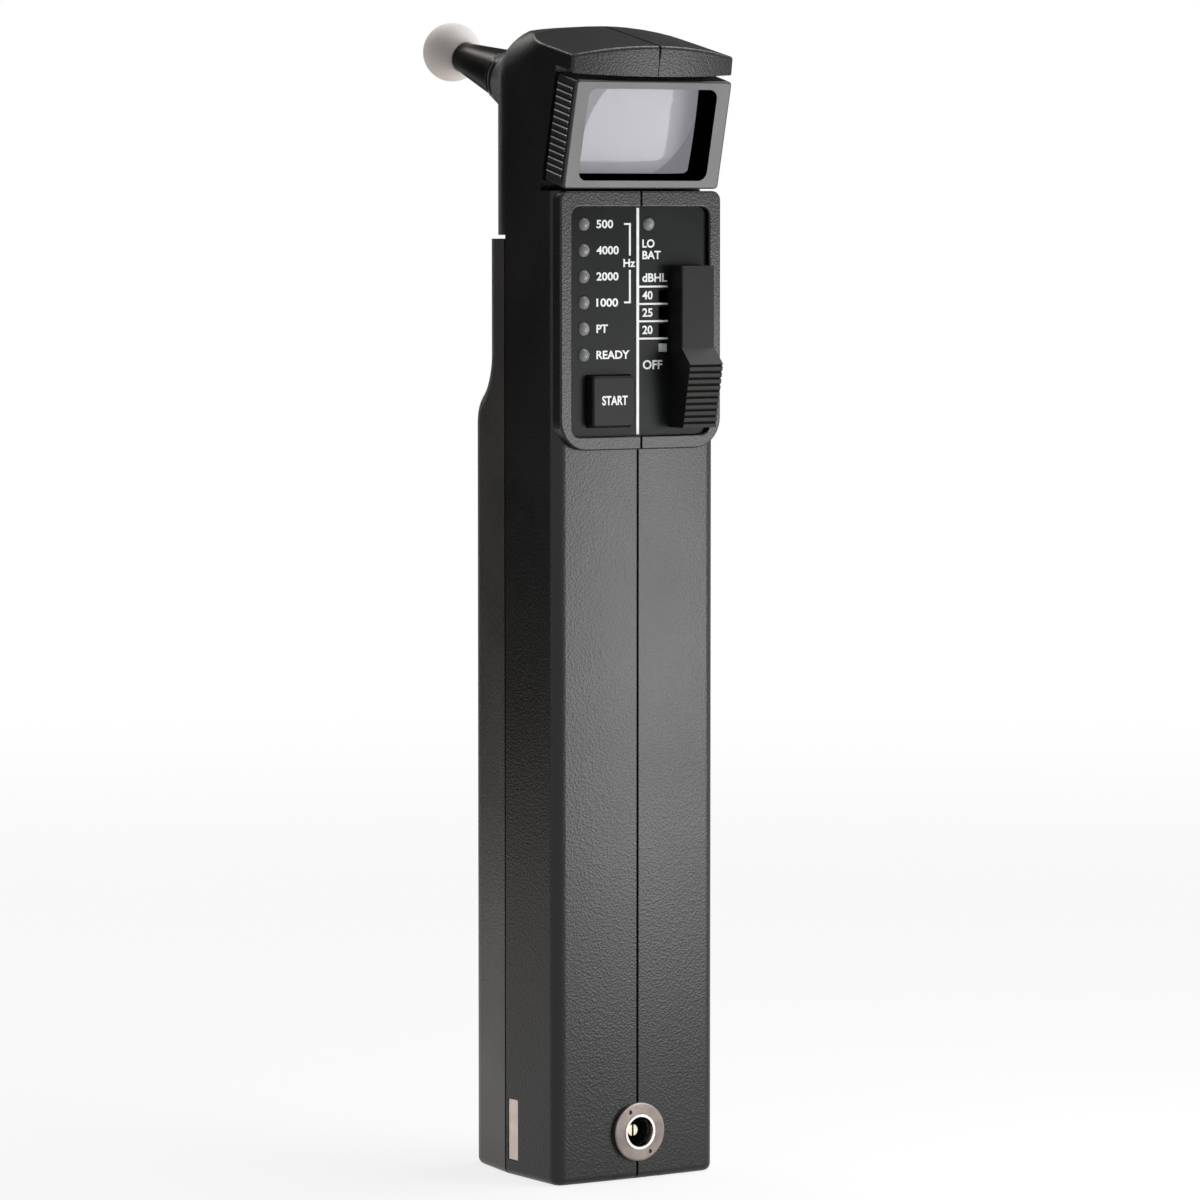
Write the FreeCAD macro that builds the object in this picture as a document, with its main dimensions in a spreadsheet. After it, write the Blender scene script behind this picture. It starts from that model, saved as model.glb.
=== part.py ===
import FreeCAD, Part

"""Hand-held screening audiometer, as an assembly of separate pieces.

Row frame, millimetres: +X to the right of the user's view, -Y towards the user, +Z up.
The origin is the centre of the handle's flat base. The optical axis runs from the
eyepiece to the ear tip, away from the user and upwards by the tilt angle.
"""

import math
import os

import Sketcher
from FreeCAD import Placement, Rotation, Vector

# ---------------------------------------------------------------- driving dimensions

DRIVING_DIMENSIONS = {
    # case
    "case_width": 34.3,
    "case_front": 16.5,
    "front_crown": 0.5,
    "front_corner": 2.2,
    "base_edge": 1.3,
    "wall": 1.8,
    "parting_gap": 0.16,
    "side_seam": 0.3,
    "seam_gap": 0.4,
    "seam_groove": 0.5,
    "seam_groove_deep": 0.35,
    "grip_drop": 29.6,
    # rear cover
    "handle_back": 16.1,
    "neck_back": 9.5,
    "cover_gap": 0.3,
    "cover_taper": 9.0,
    "cover_corner": 5.0,
    "swell_drop": 71.4,
    "swell_height": 12.5,
    "tongue_depth": 1.9,
    "tongue_thick": 0.9,
    "tongue_low": 24.0,
    "tongue_drop": 6.0,
    "hook_half": 6.0,
    "hook_back": 7.6,
    "hook_thick": 1.3,
    "hook_rise": 2.0,
    # control panel
    "bezel_front": 18.2,
    "bezel_drop": 75.8,
    "bezel_low_corner": 5.5,
    "bezel_top_corner": 1.7,
    "bezel_edge": 0.35,
    "recess_border": 2.5,
    "recess_low_drop": 73.3,
    "recess_top_drop": 32.5,
    "recess_corner": 1.6,
    "recess_depth": 1.5,
    "label_thick": 0.5,
    # head
    "head_tall": 37.9,
    "head_top": 207.9,
    "ridge_back": 6.0,
    "crown_radius": 70.0,
    "head_corner": 9.6,
    "shoulder_fade": 0.45,
    "shoulder_tip": 0.1,
    "visor_edge": 0.6,
    "visor_reach": 24.4,
    "visor_front_drop": 4.0,
    "visor_lip_back": 0.9,
    "visor_low_drop": 10.1,
    "visor_plan_radius": 78.0,
    # optical axis
    "tilt": 13.6,
    "eye_front": 20.4,
    "eye_drop": 19.7,
    # eyepiece
    "eye_narrower": 1.15,
    "eye_tall": 19.8,
    "flange_depth": 6.1,
    "skirt_narrower": 4.2,
    "skirt_tall": 19.0,
    "skirt_depth": 9.0,
    "opening_narrower": 6.9,
    "opening_tall": 16.7,
    "opening_corner": 1.7,
    "lens_depth": 5.7,
    "lens_narrower": 5.9,
    "lens_tall": 17.1,
    "lens_edge": 1.6,
    "lens_radius": 95.0,
    "lens_bulge": 0.3,
    "lens_play": 0.1,
    "retainer_thick": 1.5,
    "retainer_rim": 1.1,
    "eye_corner": 0.8,
    "eye_edge": 0.4,
    "rib_count": 14.0,
    "rib_pitch": 1.22,
    "rib_high": 0.62,
    "rib_proud": 0.35,
    "rib_length": 4.8,
    "rib_back": 0.5,
    "eye_gap": 0.3,
    "mouth_below": 2.4,
    "mouth_above": 1.05,
    "roof_extra": 2.7,
    # nose and ear tip, distances along the optical axis from the eyepiece's front
    "nose_root": 28.0,
    "nose_root_radius": 11.4,
    "nose_end": 45.2,
    "nose_end_radius": 5.7,
    "nose_bore": 4.3,
    "mount_bore": 3.0,
    "mount_start": 25.5,
    "mount_play": 0.05,
    "collar_radius": 5.5,
    "collar_long": 1.4,
    "collar_edge": 0.25,
    "collar_groove_radius": 4.7,
    "collar_groove_long": 0.6,
    "rim_radius": 5.1,
    "rim_long": 1.2,
    "spigot_radius": 3.7,
    "spigot_end_radius": 3.1,
    "spigot_long": 5.0,
    "tip_gap": 0.2,
    "cone_root_radius": 4.75,
    "cone_wall": 0.8,
    "ball_centre": 68.6,
    "ball_radius": 5.5,
    "neck_radius": 2.8,
    "tube_radius": 2.3,
    "sound_bore": 1.5,
    # chassis, receiver and lamp in the head
    "chassis_place": 15.6,
    "chassis_thick": 1.6,
    "chassis_hole": 6.3,
    "chassis_tall_up": 9.2,
    "chassis_tall_down": 12.6,
    "receiver_radius": 3.9,
    "receiver_long": 12.0,
    "receiver_back": 3.6,
    "port_floor": 1.0,
    "tube_back": 6.4,
    "tube_outer": 1.0,
    "tube_inner": 0.55,
    "bulb_radius": 1.35,
    "bulb_long": 4.2,
    "bulb_up": 7.6,
    # circuit board
    "board_front": 9.9,
    "board_thick": 1.6,
    "board_inset": 2.9,
    "board_low": 24.0,
    "board_drop": 33.3,
    "board_boss_inset": 5.3,
    "board_boss_low": 29.0,
    "board_boss_drop": 79.9,
    "boss_radius": 2.3,
    "screw_shank": 0.8,
    "screw_clear": 1.1,
    "screw_play": 0.03,
    "screw_rim": 1.1,
    "board_screw_long": 4.2,
    "screw_head": 1.9,
    "screw_head_tall": 1.3,
    "chip_size": 12.0,
    "small_chip_size": 8.0,
    "chip_thick": 1.7,
    "processor_height": 112.0,
    "amplifier_height": 84.0,
    # lamps
    "lamp_radius": 1.22,
    "lamp_flange": 1.5,
    "lamp_flange_thick": 1.0,
    "lamp_inset": 5.55,
    "lamp_drop": 35.5,
    "lamp_pitch": 4.66,
    "lamp_proud": 0.75,
    "battery_lamp_x": 2.2,
    "lamp_gap": 0.1,
    # start button and its switch
    "button_side": 9.1,
    "button_x": 6.45,
    "button_drop": 67.05,
    "button_proud": 2.0,
    "button_corner": 0.7,
    "button_edge": 0.45,
    "button_gap": 0.2,
    "button_flange": 0.7,
    "button_flange_thick": 0.9,
    "button_travel": 0.8,
    "stem_radius": 1.7,
    "plunger_gap": 0.12,
    "plunger_proud": 0.5,
    "switch_side": 6.0,
    "switch_tall": 1.6,
    # level slider and its switch
    "slider_width": 7.1,
    "slider_inset": 6.8,
    "slider_low_drop": 72.0,
    "slider_top_drop": 43.0,
    "slider_rise": 3.8,
    "thumb_peak": 2.8,
    "thumb_foot": 0.5,
    "thumb_long": 11.4,
    "shoulder_long": 2.9,
    "thumb_grooves": 10.0,
    "groove_deep": 0.38,
    "slider_edge": 0.35,
    "slider_step": 3.1,
    "slider_gap": 0.15,
    "slider_stem_width": 2.2,
    "slider_stem_long": 8.0,
    "slider_stem_drop": 62.3,
    "carriage_width": 4.6,
    "carriage_thick": 0.9,
    "nub_side": 1.0,
    "level_switch_width": 6.1,
    "level_switch_tall": 2.4,
    "level_switch_low_drop": 65.4,
    "level_switch_top_drop": 41.4,
    "flag_left": 4.2,
    "flag_right": 6.6,
    "flag_tall": 1.5,
    "flag_thick": 0.6,
    "flag_drop": 58.45,
    "window_width": 2.1,
    "window_tall": 2.4,
    # power jack
    "jack_height": 8.75,
    "jack_bore": 2.75,
    "jack_tube": 3.2,
    "jack_ring": 5.33,
    "jack_ring_thick": 0.95,
    "jack_play": 0.05,
    "spanner_hole": 0.4,
    "jack_gap": 0.12,
    "jack_body_half": 4.6,
    "jack_body_low": 3.6,
    "jack_body_high": 13.9,
    "jack_body_back": 4.6,
    "jack_bore_long": 9.0,
    "pin_radius": 1.05,
    "pin_sunk": 2.6,
    "pin_slot": 0.4,
    # charging contacts
    "contact_low": 2.9,
    "contact_high": 14.1,
    "contact_front": 3.7,
    "contact_wide": 3.4,
    "contact_thick": 0.5,
    "contact_sunk": 0.15,
    "contact_leg": 1.6,
    "contact_play": 0.1,
    # batteries
    "cell_radius": 7.0,
    "cell_long": 49.2,
    "cell_gap": 0.1,
    "cell_nub_radius": 2.6,
    "cell_nub_long": 1.0,
    "cell_bottom": 22.5,
    "cell_place": 6.9,
    "tray_floor": 1.0,
    "tray_end": 2.0,
    "contact_plate": 0.5,
    "contact_plate_side": 7.0,
    "tray_inset": 3.2,
    "tray_end_half_width": 11.4,
    "tray_reach": 5.4,
    # screws that join the case
    "case_screw_low": 19.5,
    "case_screw_mid": 97.0,
    "case_screw_drop": 49.9,
    "case_screw_back": 4.6,
    "case_screw_sunk": 4.6,
    "case_screw_long": 17.5,
    "cover_screw_x": 8.6,
    "cover_screw_z": 9.5,
    "cover_screw_sunk": 3.2,
    "cover_screw_long": 18.0,
}

LEVEL_STEPS = 3
CELLS = 4
GROOVE_START = 0.55
GROOVE_MIDDLE = 0.775
SPANNER_ANGLE = -30.0
TONE_LAMPS = ("lamp_500_hz", "lamp_4000_hz", "lamp_2000_hz", "lamp_1000_hz", "lamp_tone", "lamp_ready")
DIAGONAL = math.sqrt(0.5)
CLEAR = 30.0


class Dim:
    """A size: its value, and the expression that works it out from the sheet."""

    def __init__(self, value, text):
        self.value = value
        self.text = text

    def __add__(self, other):
        other = dim(other)
        return Dim(self.value + other.value, f"({self.text} + {other.text})")

    def __sub__(self, other):
        other = dim(other)
        return Dim(self.value - other.value, f"({self.text} - {other.text})")

    def __mul__(self, other):
        other = dim(other)
        return Dim(self.value * other.value, f"({self.text} * {other.text})")

    def __truediv__(self, other):
        other = dim(other)
        return Dim(self.value / other.value, f"({self.text} / {other.text})")

    def __radd__(self, other):
        return dim(other) + self

    def __rsub__(self, other):
        return dim(other) - self

    def __rmul__(self, other):
        return dim(other) * self

    def __neg__(self):
        return Dim(-self.value, f"(0 - {self.text})")


def dim(value):
    """Returns value as a Dim."""
    if isinstance(value, Dim):
        return value
    return Dim(float(value), repr(float(value)) if value >= 0 else f"(0 - {repr(-float(value))})")


def sine(angle):
    return Dim(math.sin(math.radians(angle.value)), f"sin({angle.text})")


def cosine(angle):
    return Dim(math.cos(math.radians(angle.value)), f"cos({angle.text})")


def tangent(angle):
    return Dim(math.tan(math.radians(angle.value)), f"tan({angle.text})")


def root(size):
    return Dim(math.sqrt(size.value), f"sqrt({size.text})")


def slope_angle(rise, run):
    """Returns the angle, in degrees, whose tangent is rise over run."""
    value = math.degrees(math.atan(rise.value / run.value))
    return Dim(value, f"(atan({rise.text} / {run.text}) / 1 deg)")


class Sizes:
    """Every driving dimension by name, as a Dim that reads the sheet's cell."""

    def __getattr__(self, name):
        return Dim(DRIVING_DIMENSIONS[name], f"Sizes.{name}")


D = Sizes()
doc = FreeCAD.newDocument("Audiometer")
sheet = doc.addObject("Spreadsheet::Sheet", "Sizes")


def fill_sheet():
    """Writes the driving dimensions to the spreadsheet, one aliased cell each."""
    for row, (name, value) in enumerate(DRIVING_DIMENSIONS.items(), start=1):
        sheet.set(f"A{row}", name)
        sheet.set(f"B{row}", str(value))
        sheet.setAlias(f"B{row}", name)
    doc.recompute()


fill_sheet()


def bind(feature, field, size):
    """Ties one property of a feature to a size."""
    feature.setExpression(field, dim(size).text)


# ---------------------------------------------------------------- outlines


class Outline:
    """A closed outline: corners in order, and the arcs that replace some of its sides."""

    def __init__(self):
        self.points = []
        self.arcs = {}

    def to(self, across, up):
        """Adds a corner."""
        self.points.append((dim(across), dim(up)))
        return self

    def arc(self, middle, radius):
        """Makes the side that starts at the last corner an arc through about middle."""
        self.arcs[len(self.points) - 1] = ((dim(middle[0]), dim(middle[1])), dim(radius))
        return self


def polygon(*corners):
    shape = Outline()
    for across, up in corners:
        shape.to(across, up)
    return shape


def rectangle(left, right, low, high):
    return polygon((left, low), (right, low), (right, high), (left, high))


def rounded_rectangle(left, right, low, high, low_corner, high_corner):
    """A rectangle with round corners, one radius at the bottom and one at the top."""
    left, right, low, high = dim(left), dim(right), dim(low), dim(high)
    near = 1 - DIAGONAL
    shape = Outline()
    shape.to(left + low_corner, low)
    shape.to(right - low_corner, low)
    shape.arc((right - low_corner * near, low + low_corner * near), low_corner)
    shape.to(right, low + low_corner)
    shape.to(right, high - high_corner)
    shape.arc((right - high_corner * near, high - high_corner * near), high_corner)
    shape.to(right - high_corner, high)
    shape.to(left + high_corner, high)
    shape.arc((left + high_corner * near, high - high_corner * near), high_corner)
    shape.to(left, high - high_corner)
    shape.to(left, low + low_corner).arc((left + low_corner * near, low + low_corner * near), low_corner)
    return shape


# ---------------------------------------------------------------- pieces

PLANES = {"XY": ("XY_Plane", 1.0), "XZ": ("XZ_Plane", -1.0), "YZ": ("YZ_Plane", 1.0)}
TURNS = {
    "X": Rotation(Vector(0, 1, 0), 90),
    "Y": Rotation(Vector(1, 0, 0), -90),
    "Z": Rotation(),
}
PIECES = []


class Piece:
    """One separate solid, or group of equal solids: a PartDesign body and its features."""

    def __init__(self, label, optical=False, kept=True):
        self.body = doc.addObject("PartDesign::Body", label)
        self.body.Label = label
        self.body.Placement = Placement()
        self.serial = 0
        if kept:
            PIECES.append(self.body)
        if optical:
            self.body.Placement = Placement(Vector(0, 1, 1), Rotation(Vector(1, 0, 0), D.tilt.value))
            bind(self.body, "Placement.Rotation.Angle", D.tilt)
            bind(self.body, "Placement.Base.y", -D.eye_front)
            bind(self.body, "Placement.Base.z", eye_height)

    def feature(self, kind):
        self.serial += 1
        label = f"{self.body.Name}_{kind}_{self.serial}"
        return self.body.newObject(f"PartDesign::{kind}", label)

    def sketch(self, plane, outlines, level, turn=None, pivot=None):
        """Draws outlines on a plane across the third axis at level, or turned about X at pivot."""
        role, sign = PLANES[plane]
        self.serial += 1
        drawing = self.body.newObject("Sketcher::SketchObject", f"{self.body.Name}_sketch_{self.serial}")
        origin_plane = next(item for item in self.body.Origin.OriginFeatures if item.Role == role)
        drawing.AttachmentSupport = (origin_plane, [""])
        drawing.MapMode = "FlatFace"
        if turn is not None:
            drawing.AttachmentOffset = Placement(Vector(0, 1, 1), Rotation(Vector(1, 0, 0), turn.value))
            bind(drawing, "AttachmentOffset.Rotation.Angle", turn)
            bind(drawing, "AttachmentOffset.Base.y", pivot)
        bind(drawing, "AttachmentOffset.Base.z", dim(level) * sign)
        for shape in outlines:
            draw(drawing, shape)
        return drawing

    def extrude(self, plane, shapes, low, high, cut=False):
        """Fills, or cuts, the outlines from low to high along the plane's own axis."""
        low, high = dim(low), dim(high)
        start = high if (plane == "XZ") != cut else low
        shapes = shapes if isinstance(shapes, list) else [shapes]
        drawing = self.sketch(plane, shapes, start)
        run = self.feature("Pocket" if cut else "Pad")
        run.Profile = drawing
        bind(run, "Length", high - low)
        return self

    def cut_along(self, plane, shape, pivot, level, turn, length):
        """Cuts an outline on a plane that is turned about X where the pivot line crosses level."""
        drawing = self.sketch(plane, [shape], level, turn, pivot)
        run = self.feature("Pocket")
        run.Profile = drawing
        bind(run, "Length", length)
        return self

    def box(self, low, high, cut=False):
        """A box between two opposite corners."""
        block = self.feature("SubtractiveBox" if cut else "AdditiveBox")
        for field, start, end in zip(("Length", "Width", "Height"), low, high):
            bind(block, field, dim(end) - dim(start))
        self.move(block, low)
        return self

    def rod(self, start, axis, length, radius, cut=False, end_radius=None):
        """A cylinder, or a cone, that runs from start along X, Y, Z or the optical axis."""
        kind = "Cylinder" if end_radius is None else "Cone"
        solid = self.feature(("Subtractive" if cut else "Additive") + kind)
        if end_radius is None:
            bind(solid, "Radius", radius)
        else:
            bind(solid, "Radius1", radius)
            bind(solid, "Radius2", end_radius)
        bind(solid, "Height", length)
        if axis == "optical":
            turn = D.tilt - 90
            solid.Placement = Placement(Vector(), Rotation(Vector(1, 0, 0), turn.value))
            bind(solid, "Placement.Rotation.Angle", turn)
        else:
            solid.Placement = Placement(Vector(), TURNS[axis])
        self.move(solid, start)
        return self

    def ball(self, place, radius):
        """A ball round place."""
        solid = self.feature("AdditiveSphere")
        bind(solid, "Radius", radius)
        self.move(solid, place)
        return self

    def cone_between_walls(self, apex, direction, length, radius):
        """A cone from its apex along a direction, length long, that ends at radius."""
        solid = self.feature("AdditiveCone")
        bind(solid, "Radius1", 0)
        bind(solid, "Radius2", radius)
        bind(solid, "Height", length)
        solid.Placement = Placement(Vector(), Rotation(Vector(0, 0, 1), direction))
        self.move(solid, apex)
        return self

    def taper_cut(self, plane, start, end):
        """Cuts what lies between two outlines, each given with its level."""
        first, last = (self.sketch(plane, [shape], level) for shape, level in (start, end))
        run = self.feature("SubtractiveLoft")
        run.Profile = first
        run.Sections = [last]
        run.Ruled = True
        return self

    def move(self, feature, place):
        for field, value in zip("xyz", place):
            bind(feature, f"Placement.Base.{field}", value)

    def spin(self, shape, cut=False):
        """Turns an outline of (Y, radius) fully round the piece's own Y axis."""
        drawing = self.sketch("YZ", [shape], 0)
        turned = self.feature("Groove" if cut else "Revolution")
        turned.Profile = drawing
        turned.ReferenceAxis = (drawing, ["H_Axis"])
        turned.Angle = 360.0
        return self

    def round(self, radius, chosen, kind="Fillet"):
        """Rounds, or chamfers, the edges of the solid so far that chosen accepts."""
        doc.recompute()
        base = self.body.Tip
        names = [f"Edge{i}" for i, edge in enumerate(base.Shape.Edges, start=1) if chosen(edge)]
        if not names:
            raise ValueError(f"{self.body.Label}: no edge to round")
        blend = self.feature(kind)
        blend.Base = (base, names)
        bind(blend, "Radius" if kind == "Fillet" else "Size", radius)
        return self


def draw(drawing, shape):
    """Adds an outline to a sketch and fixes each corner and radius to its size."""
    count = len(shape.points)
    places = [Vector(across.value, up.value, 0) for across, up in shape.points]
    ids = []
    starts = []
    for i, place in enumerate(places):
        after = places[(i + 1) % count]
        if i in shape.arcs:
            middle = shape.arcs[i][0]
            curve = Part.Arc(place, Vector(middle[0].value, middle[1].value, 0), after)
        else:
            curve = Part.LineSegment(place, after)
        number = drawing.addGeometry(curve, False)
        first, last = (drawing.getPoint(number, end).distanceToPoint(place) for end in (1, 2))
        ids.append(number)
        starts.append(1 if first < last else 2)
    for i, number in enumerate(ids):
        after = (i + 1) % count
        joint = Sketcher.Constraint("Coincident", number, 3 - starts[i], ids[after], starts[after])
        drawing.addConstraint(joint)
    for i, (across, up) in enumerate(shape.points):
        fix(drawing, Sketcher.Constraint("DistanceX", -1, 1, ids[i], starts[i], across.value), across)
        fix(drawing, Sketcher.Constraint("DistanceY", -1, 1, ids[i], starts[i], up.value), up)
    for i, (middle, radius) in shape.arcs.items():
        fix(drawing, Sketcher.Constraint("Radius", ids[i], radius.value), radius)


def fix(drawing, constraint, size):
    number = drawing.addConstraint(constraint)
    drawing.setExpression(f"Constraints[{number}]", size.text)


def along(distance, up=0):
    """Returns the Y and Z of a point at a distance along the optical axis, and up from it."""
    back = dim(distance) * cosine(D.tilt) - dim(up) * sine(D.tilt)
    rise = dim(distance) * sine(D.tilt) + dim(up) * cosine(D.tilt)
    return back - D.eye_front, rise + eye_height


NEAR = 0.02


def edge_ends(edge):
    return [vertex.Point for vertex in edge.Vertexes]


def on(axis, *levels):
    """Chooses edges whose ends all lie at one of the levels of an axis."""
    values = [dim(level).value for level in levels]

    def chosen(edge):
        ends = edge_ends(edge)
        return any(all(abs(getattr(end, axis) - value) < NEAR for end in ends) for value in values)

    return chosen


def runs(axis):
    """Chooses straight edges that run along an axis."""

    def chosen(edge):
        if edge.Degenerated or edge.Curve.TypeId != "Part::GeomLine":
            return False
        direction = edge.Curve.Direction
        return abs(getattr(direction, axis)) > 1 - NEAR * NEAR

    return chosen


def every(*tests):
    def chosen(edge):
        return all(test(edge) for test in tests)

    return chosen


# ---------------------------------------------------------------- sizes that several pieces share

half = D.case_width / 2
inner_half = half - D.wall
grip_top = D.head_top - D.grip_drop
swell_low = D.head_top - D.swell_drop
bezel_bottom = D.head_top - D.bezel_drop
recess_bottom = D.head_top - D.recess_low_drop
recess_top = D.head_top - D.recess_top_drop
head_bottom = D.head_top - D.head_tall
cover_top = head_bottom - D.cover_gap
visor_front_top = D.head_top - D.visor_front_drop
visor_low = D.head_top - D.visor_low_drop
eye_height = D.head_top - D.eye_drop
board_high = D.head_top - D.board_drop
board_boss_high = D.head_top - D.board_boss_drop
lamp_top = D.head_top - D.lamp_drop
button_z = D.head_top - D.button_drop
slider_bottom = D.head_top - D.slider_low_drop
slider_top = D.head_top - D.slider_top_drop
slider_stem_low = D.head_top - D.slider_stem_drop
level_switch_low = D.head_top - D.level_switch_low_drop
level_switch_high = D.head_top - D.level_switch_top_drop
flag_low = D.head_top - D.flag_drop
case_screw_high = D.head_top - D.case_screw_drop
lamp_column = half - D.lamp_inset
slider_x = half - D.slider_inset
board_half_width = half - D.board_inset
board_boss_x = half - D.board_boss_inset
tray_half_width = half - D.tray_inset
recess_half = half - D.recess_border
eye_width = D.case_width - D.eye_narrower
skirt_width = D.case_width - D.skirt_narrower
opening_width = D.case_width - D.opening_narrower
lens_width = D.case_width - D.lens_narrower
front = -D.case_front
front_inner = front + D.wall
cover_seam = D.side_seam + D.seam_gap
label_back = D.recess_depth - D.bezel_front
label_front = label_back - D.label_thick
board_face = -D.board_front
board_back = board_face + D.board_thick
mouth_place = D.flange_depth + D.eye_gap
slider_travel = D.slider_step * LEVEL_STEPS
pilot = D.screw_shank + D.screw_play
head_boss = D.screw_head + D.screw_rim
head_well = D.screw_head + D.lamp_gap
plunger_top = board_face - D.switch_tall - D.plunger_proud
carriage_front = front_inner + D.slider_gap
carriage_back = carriage_front + D.carriage_thick
tunnel_wide = lens_width / 2 + D.lens_play
tunnel_tall = D.lens_tall / 2 + D.lens_play
lens_apex = D.lens_depth - D.lens_bulge
lens_corner_reach = lens_width * lens_width / 4 + D.lens_tall * D.lens_tall / 4
lens_back = lens_apex + lens_corner_reach / (D.lens_radius * 2) + D.lens_edge
head_floor = head_bottom + D.wall
sleeve_radius = D.nose_bore - D.mount_play
collar_end = D.nose_end + D.collar_long
rim_start = collar_end + D.collar_groove_long
rim_end = rim_start + D.rim_long
spigot_end = rim_end + D.spigot_long
ball_mouth = D.neck_radius + D.mount_play
ball_back = D.ball_centre - root(D.ball_radius * D.ball_radius - ball_mouth * ball_mouth)
ball_front = D.ball_centre + root(D.ball_radius * D.ball_radius - D.tube_radius * D.tube_radius)


# ---------------------------------------------------------------- case


def add_head(case):
    """The head: a block under a sloping visor, rounded behind, with a crowned top."""
    low_back, low_height = along(mouth_place, -D.eye_tall / 2 - D.mouth_below)
    roof_back, roof_height = along(mouth_place, D.eye_tall / 2 + D.mouth_above)
    corner = D.head_corner
    spare = D.wall
    side = Outline()
    side.to(low_back, head_bottom)
    side.to(low_back, low_height)
    side.to(roof_back, roof_height)
    side.to(-D.visor_reach - spare, visor_low)
    side.to(-D.visor_reach - spare, visor_front_top)
    side.to(-D.ridge_back, D.head_top + spare)
    side.to(D.neck_back - corner, D.head_top + spare)
    side.to(D.neck_back - corner, D.head_top)
    side.arc((D.neck_back - corner * (1 - DIAGONAL), D.head_top - corner * (1 - DIAGONAL)), corner)
    side.to(D.neck_back, D.head_top - corner)
    side.to(D.neck_back, head_bottom + D.seam_gap)
    side.to(D.side_seam, head_bottom + D.seam_gap)
    side.to(D.side_seam, head_bottom)
    case.extrude("YZ", side, -half, half)
    corners = [rear_corner(1), rear_corner(-1)]
    case.extrude("XY", corners, head_bottom - CLEAR, D.head_top + CLEAR, cut=True)
    add_shoulders(case)
    shape_visor(case)


def add_shoulders(case):
    """Rounds the head's rear top corners as balls, which thin out forwards as cones."""
    corner = D.head_corner
    middle = D.neck_back - corner
    level = D.head_top - corner
    above = D.head_top + D.wall * 2
    fade = D.shoulder_fade
    tip_back = middle - (corner - D.shoulder_tip) / fade
    lean = root(1 + fade * fade * 2)
    for side in (-1, 1):
        across = (half - corner) * side
        outside = (half + D.wall) * side
        low_x, high_x = (across, outside) if side > 0 else (outside, across)
        case.box((low_x, middle, level), (high_x, D.neck_back + D.wall, above), cut=True)
        wide, narrow = above_shoulder(side, corner), above_shoulder(side, D.shoulder_tip)
        case.taper_cut("XZ", (wide, middle), (narrow, tip_back))
        case.ball((across, middle, level), corner)
        case.cone_between_walls(
            (half * side, middle - corner / fade, D.head_top),
            Vector(-side * fade.value, 1, -fade.value),
            corner * (1 + fade * fade) / (fade * lean),
            corner * root(1 + fade * fade) / lean,
        )


def above_shoulder(side, radius):
    """The material above a slope that cuts radius off a side's top edge."""
    return polygon(
        (half * side, D.head_top - radius),
        ((half - radius) * side, D.head_top),
        ((half - radius) * side, D.head_top + D.wall * 2),
        ((half + D.wall) * side, D.head_top + D.wall * 2),
        ((half + D.wall) * side, D.head_top - radius),
    )


def shape_visor(case):
    """Crowns the head's top and the visor's slope, and bows the visor's leaning face."""
    spare = D.wall
    rise = D.head_top - visor_front_top
    run = D.visor_reach - D.ridge_back
    start = D.visor_reach + spare * 2
    foot = visor_front_top - spare * 2 * rise / run
    case.cut_along("XZ", above_crown(), foot, -start, slope_angle(rise, run), D.case_width * 2)
    case.extrude("XZ", above_crown(D.head_top), -D.visor_reach, D.neck_back, cut=True)
    lean = slope_angle(D.visor_lip_back, visor_front_top - visor_low)
    brow = -D.visor_reach - spare * tangent(lean)
    case.cut_along("XY", ahead_of_visor(), brow, visor_front_top + spare, lean, CLEAR)
    case.round(D.visor_edge, visor_rim)


def visor_rim(edge):
    """Chooses the edges of the visor's sides and the brow over its face."""
    ends = edge_ends(edge)
    floor = visor_low.value - NEAR
    low = (visor_front_top - D.visor_front_drop).value
    back = (D.visor_front_drop - D.visor_reach).value
    at_side = on("x", half, -half)(edge) and all(end.z > floor and end.y < 0 for end in ends)
    return at_side or all(end.y < back and end.z > low for end in ends)


def rear_corner(side):
    """The material outside a round vertical corner at the back of the head."""
    corner = D.head_corner
    shape = Outline()
    shape.to(half * side, D.neck_back - corner)
    shape.arc(
        ((half - corner * (1 - DIAGONAL)) * side, D.neck_back - corner * (1 - DIAGONAL)), corner
    )
    shape.to((half - corner) * side, D.neck_back)
    shape.to((half - corner) * side, D.neck_back + D.wall)
    shape.to((half + D.wall) * side, D.neck_back + D.wall)
    shape.to((half + D.wall) * side, D.neck_back - corner)
    return shape


def above_crown(top=0):
    """Everything above an arc that crowns the head from side to side."""
    reach = half + D.wall
    sag = D.crown_radius - root(D.crown_radius * D.crown_radius - reach * reach)
    shape = Outline()
    shape.to(-reach, top - sag).arc((0, top), D.crown_radius)
    shape.to(reach, top - sag)
    shape.to(reach, top + CLEAR)
    shape.to(-reach, top + CLEAR)
    return shape


def ahead_of_visor():
    """Everything in front of the visor's bowed face, whose middle is at the outline's origin."""
    reach = half + D.wall
    sag = D.visor_plan_radius - root(D.visor_plan_radius * D.visor_plan_radius - reach * reach)
    shape = Outline()
    shape.to(-reach, sag).arc((0, 0), D.visor_plan_radius)
    shape.to(reach, sag)
    shape.to(reach, -CLEAR)
    shape.to(-reach, -CLEAR)
    return shape


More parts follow.
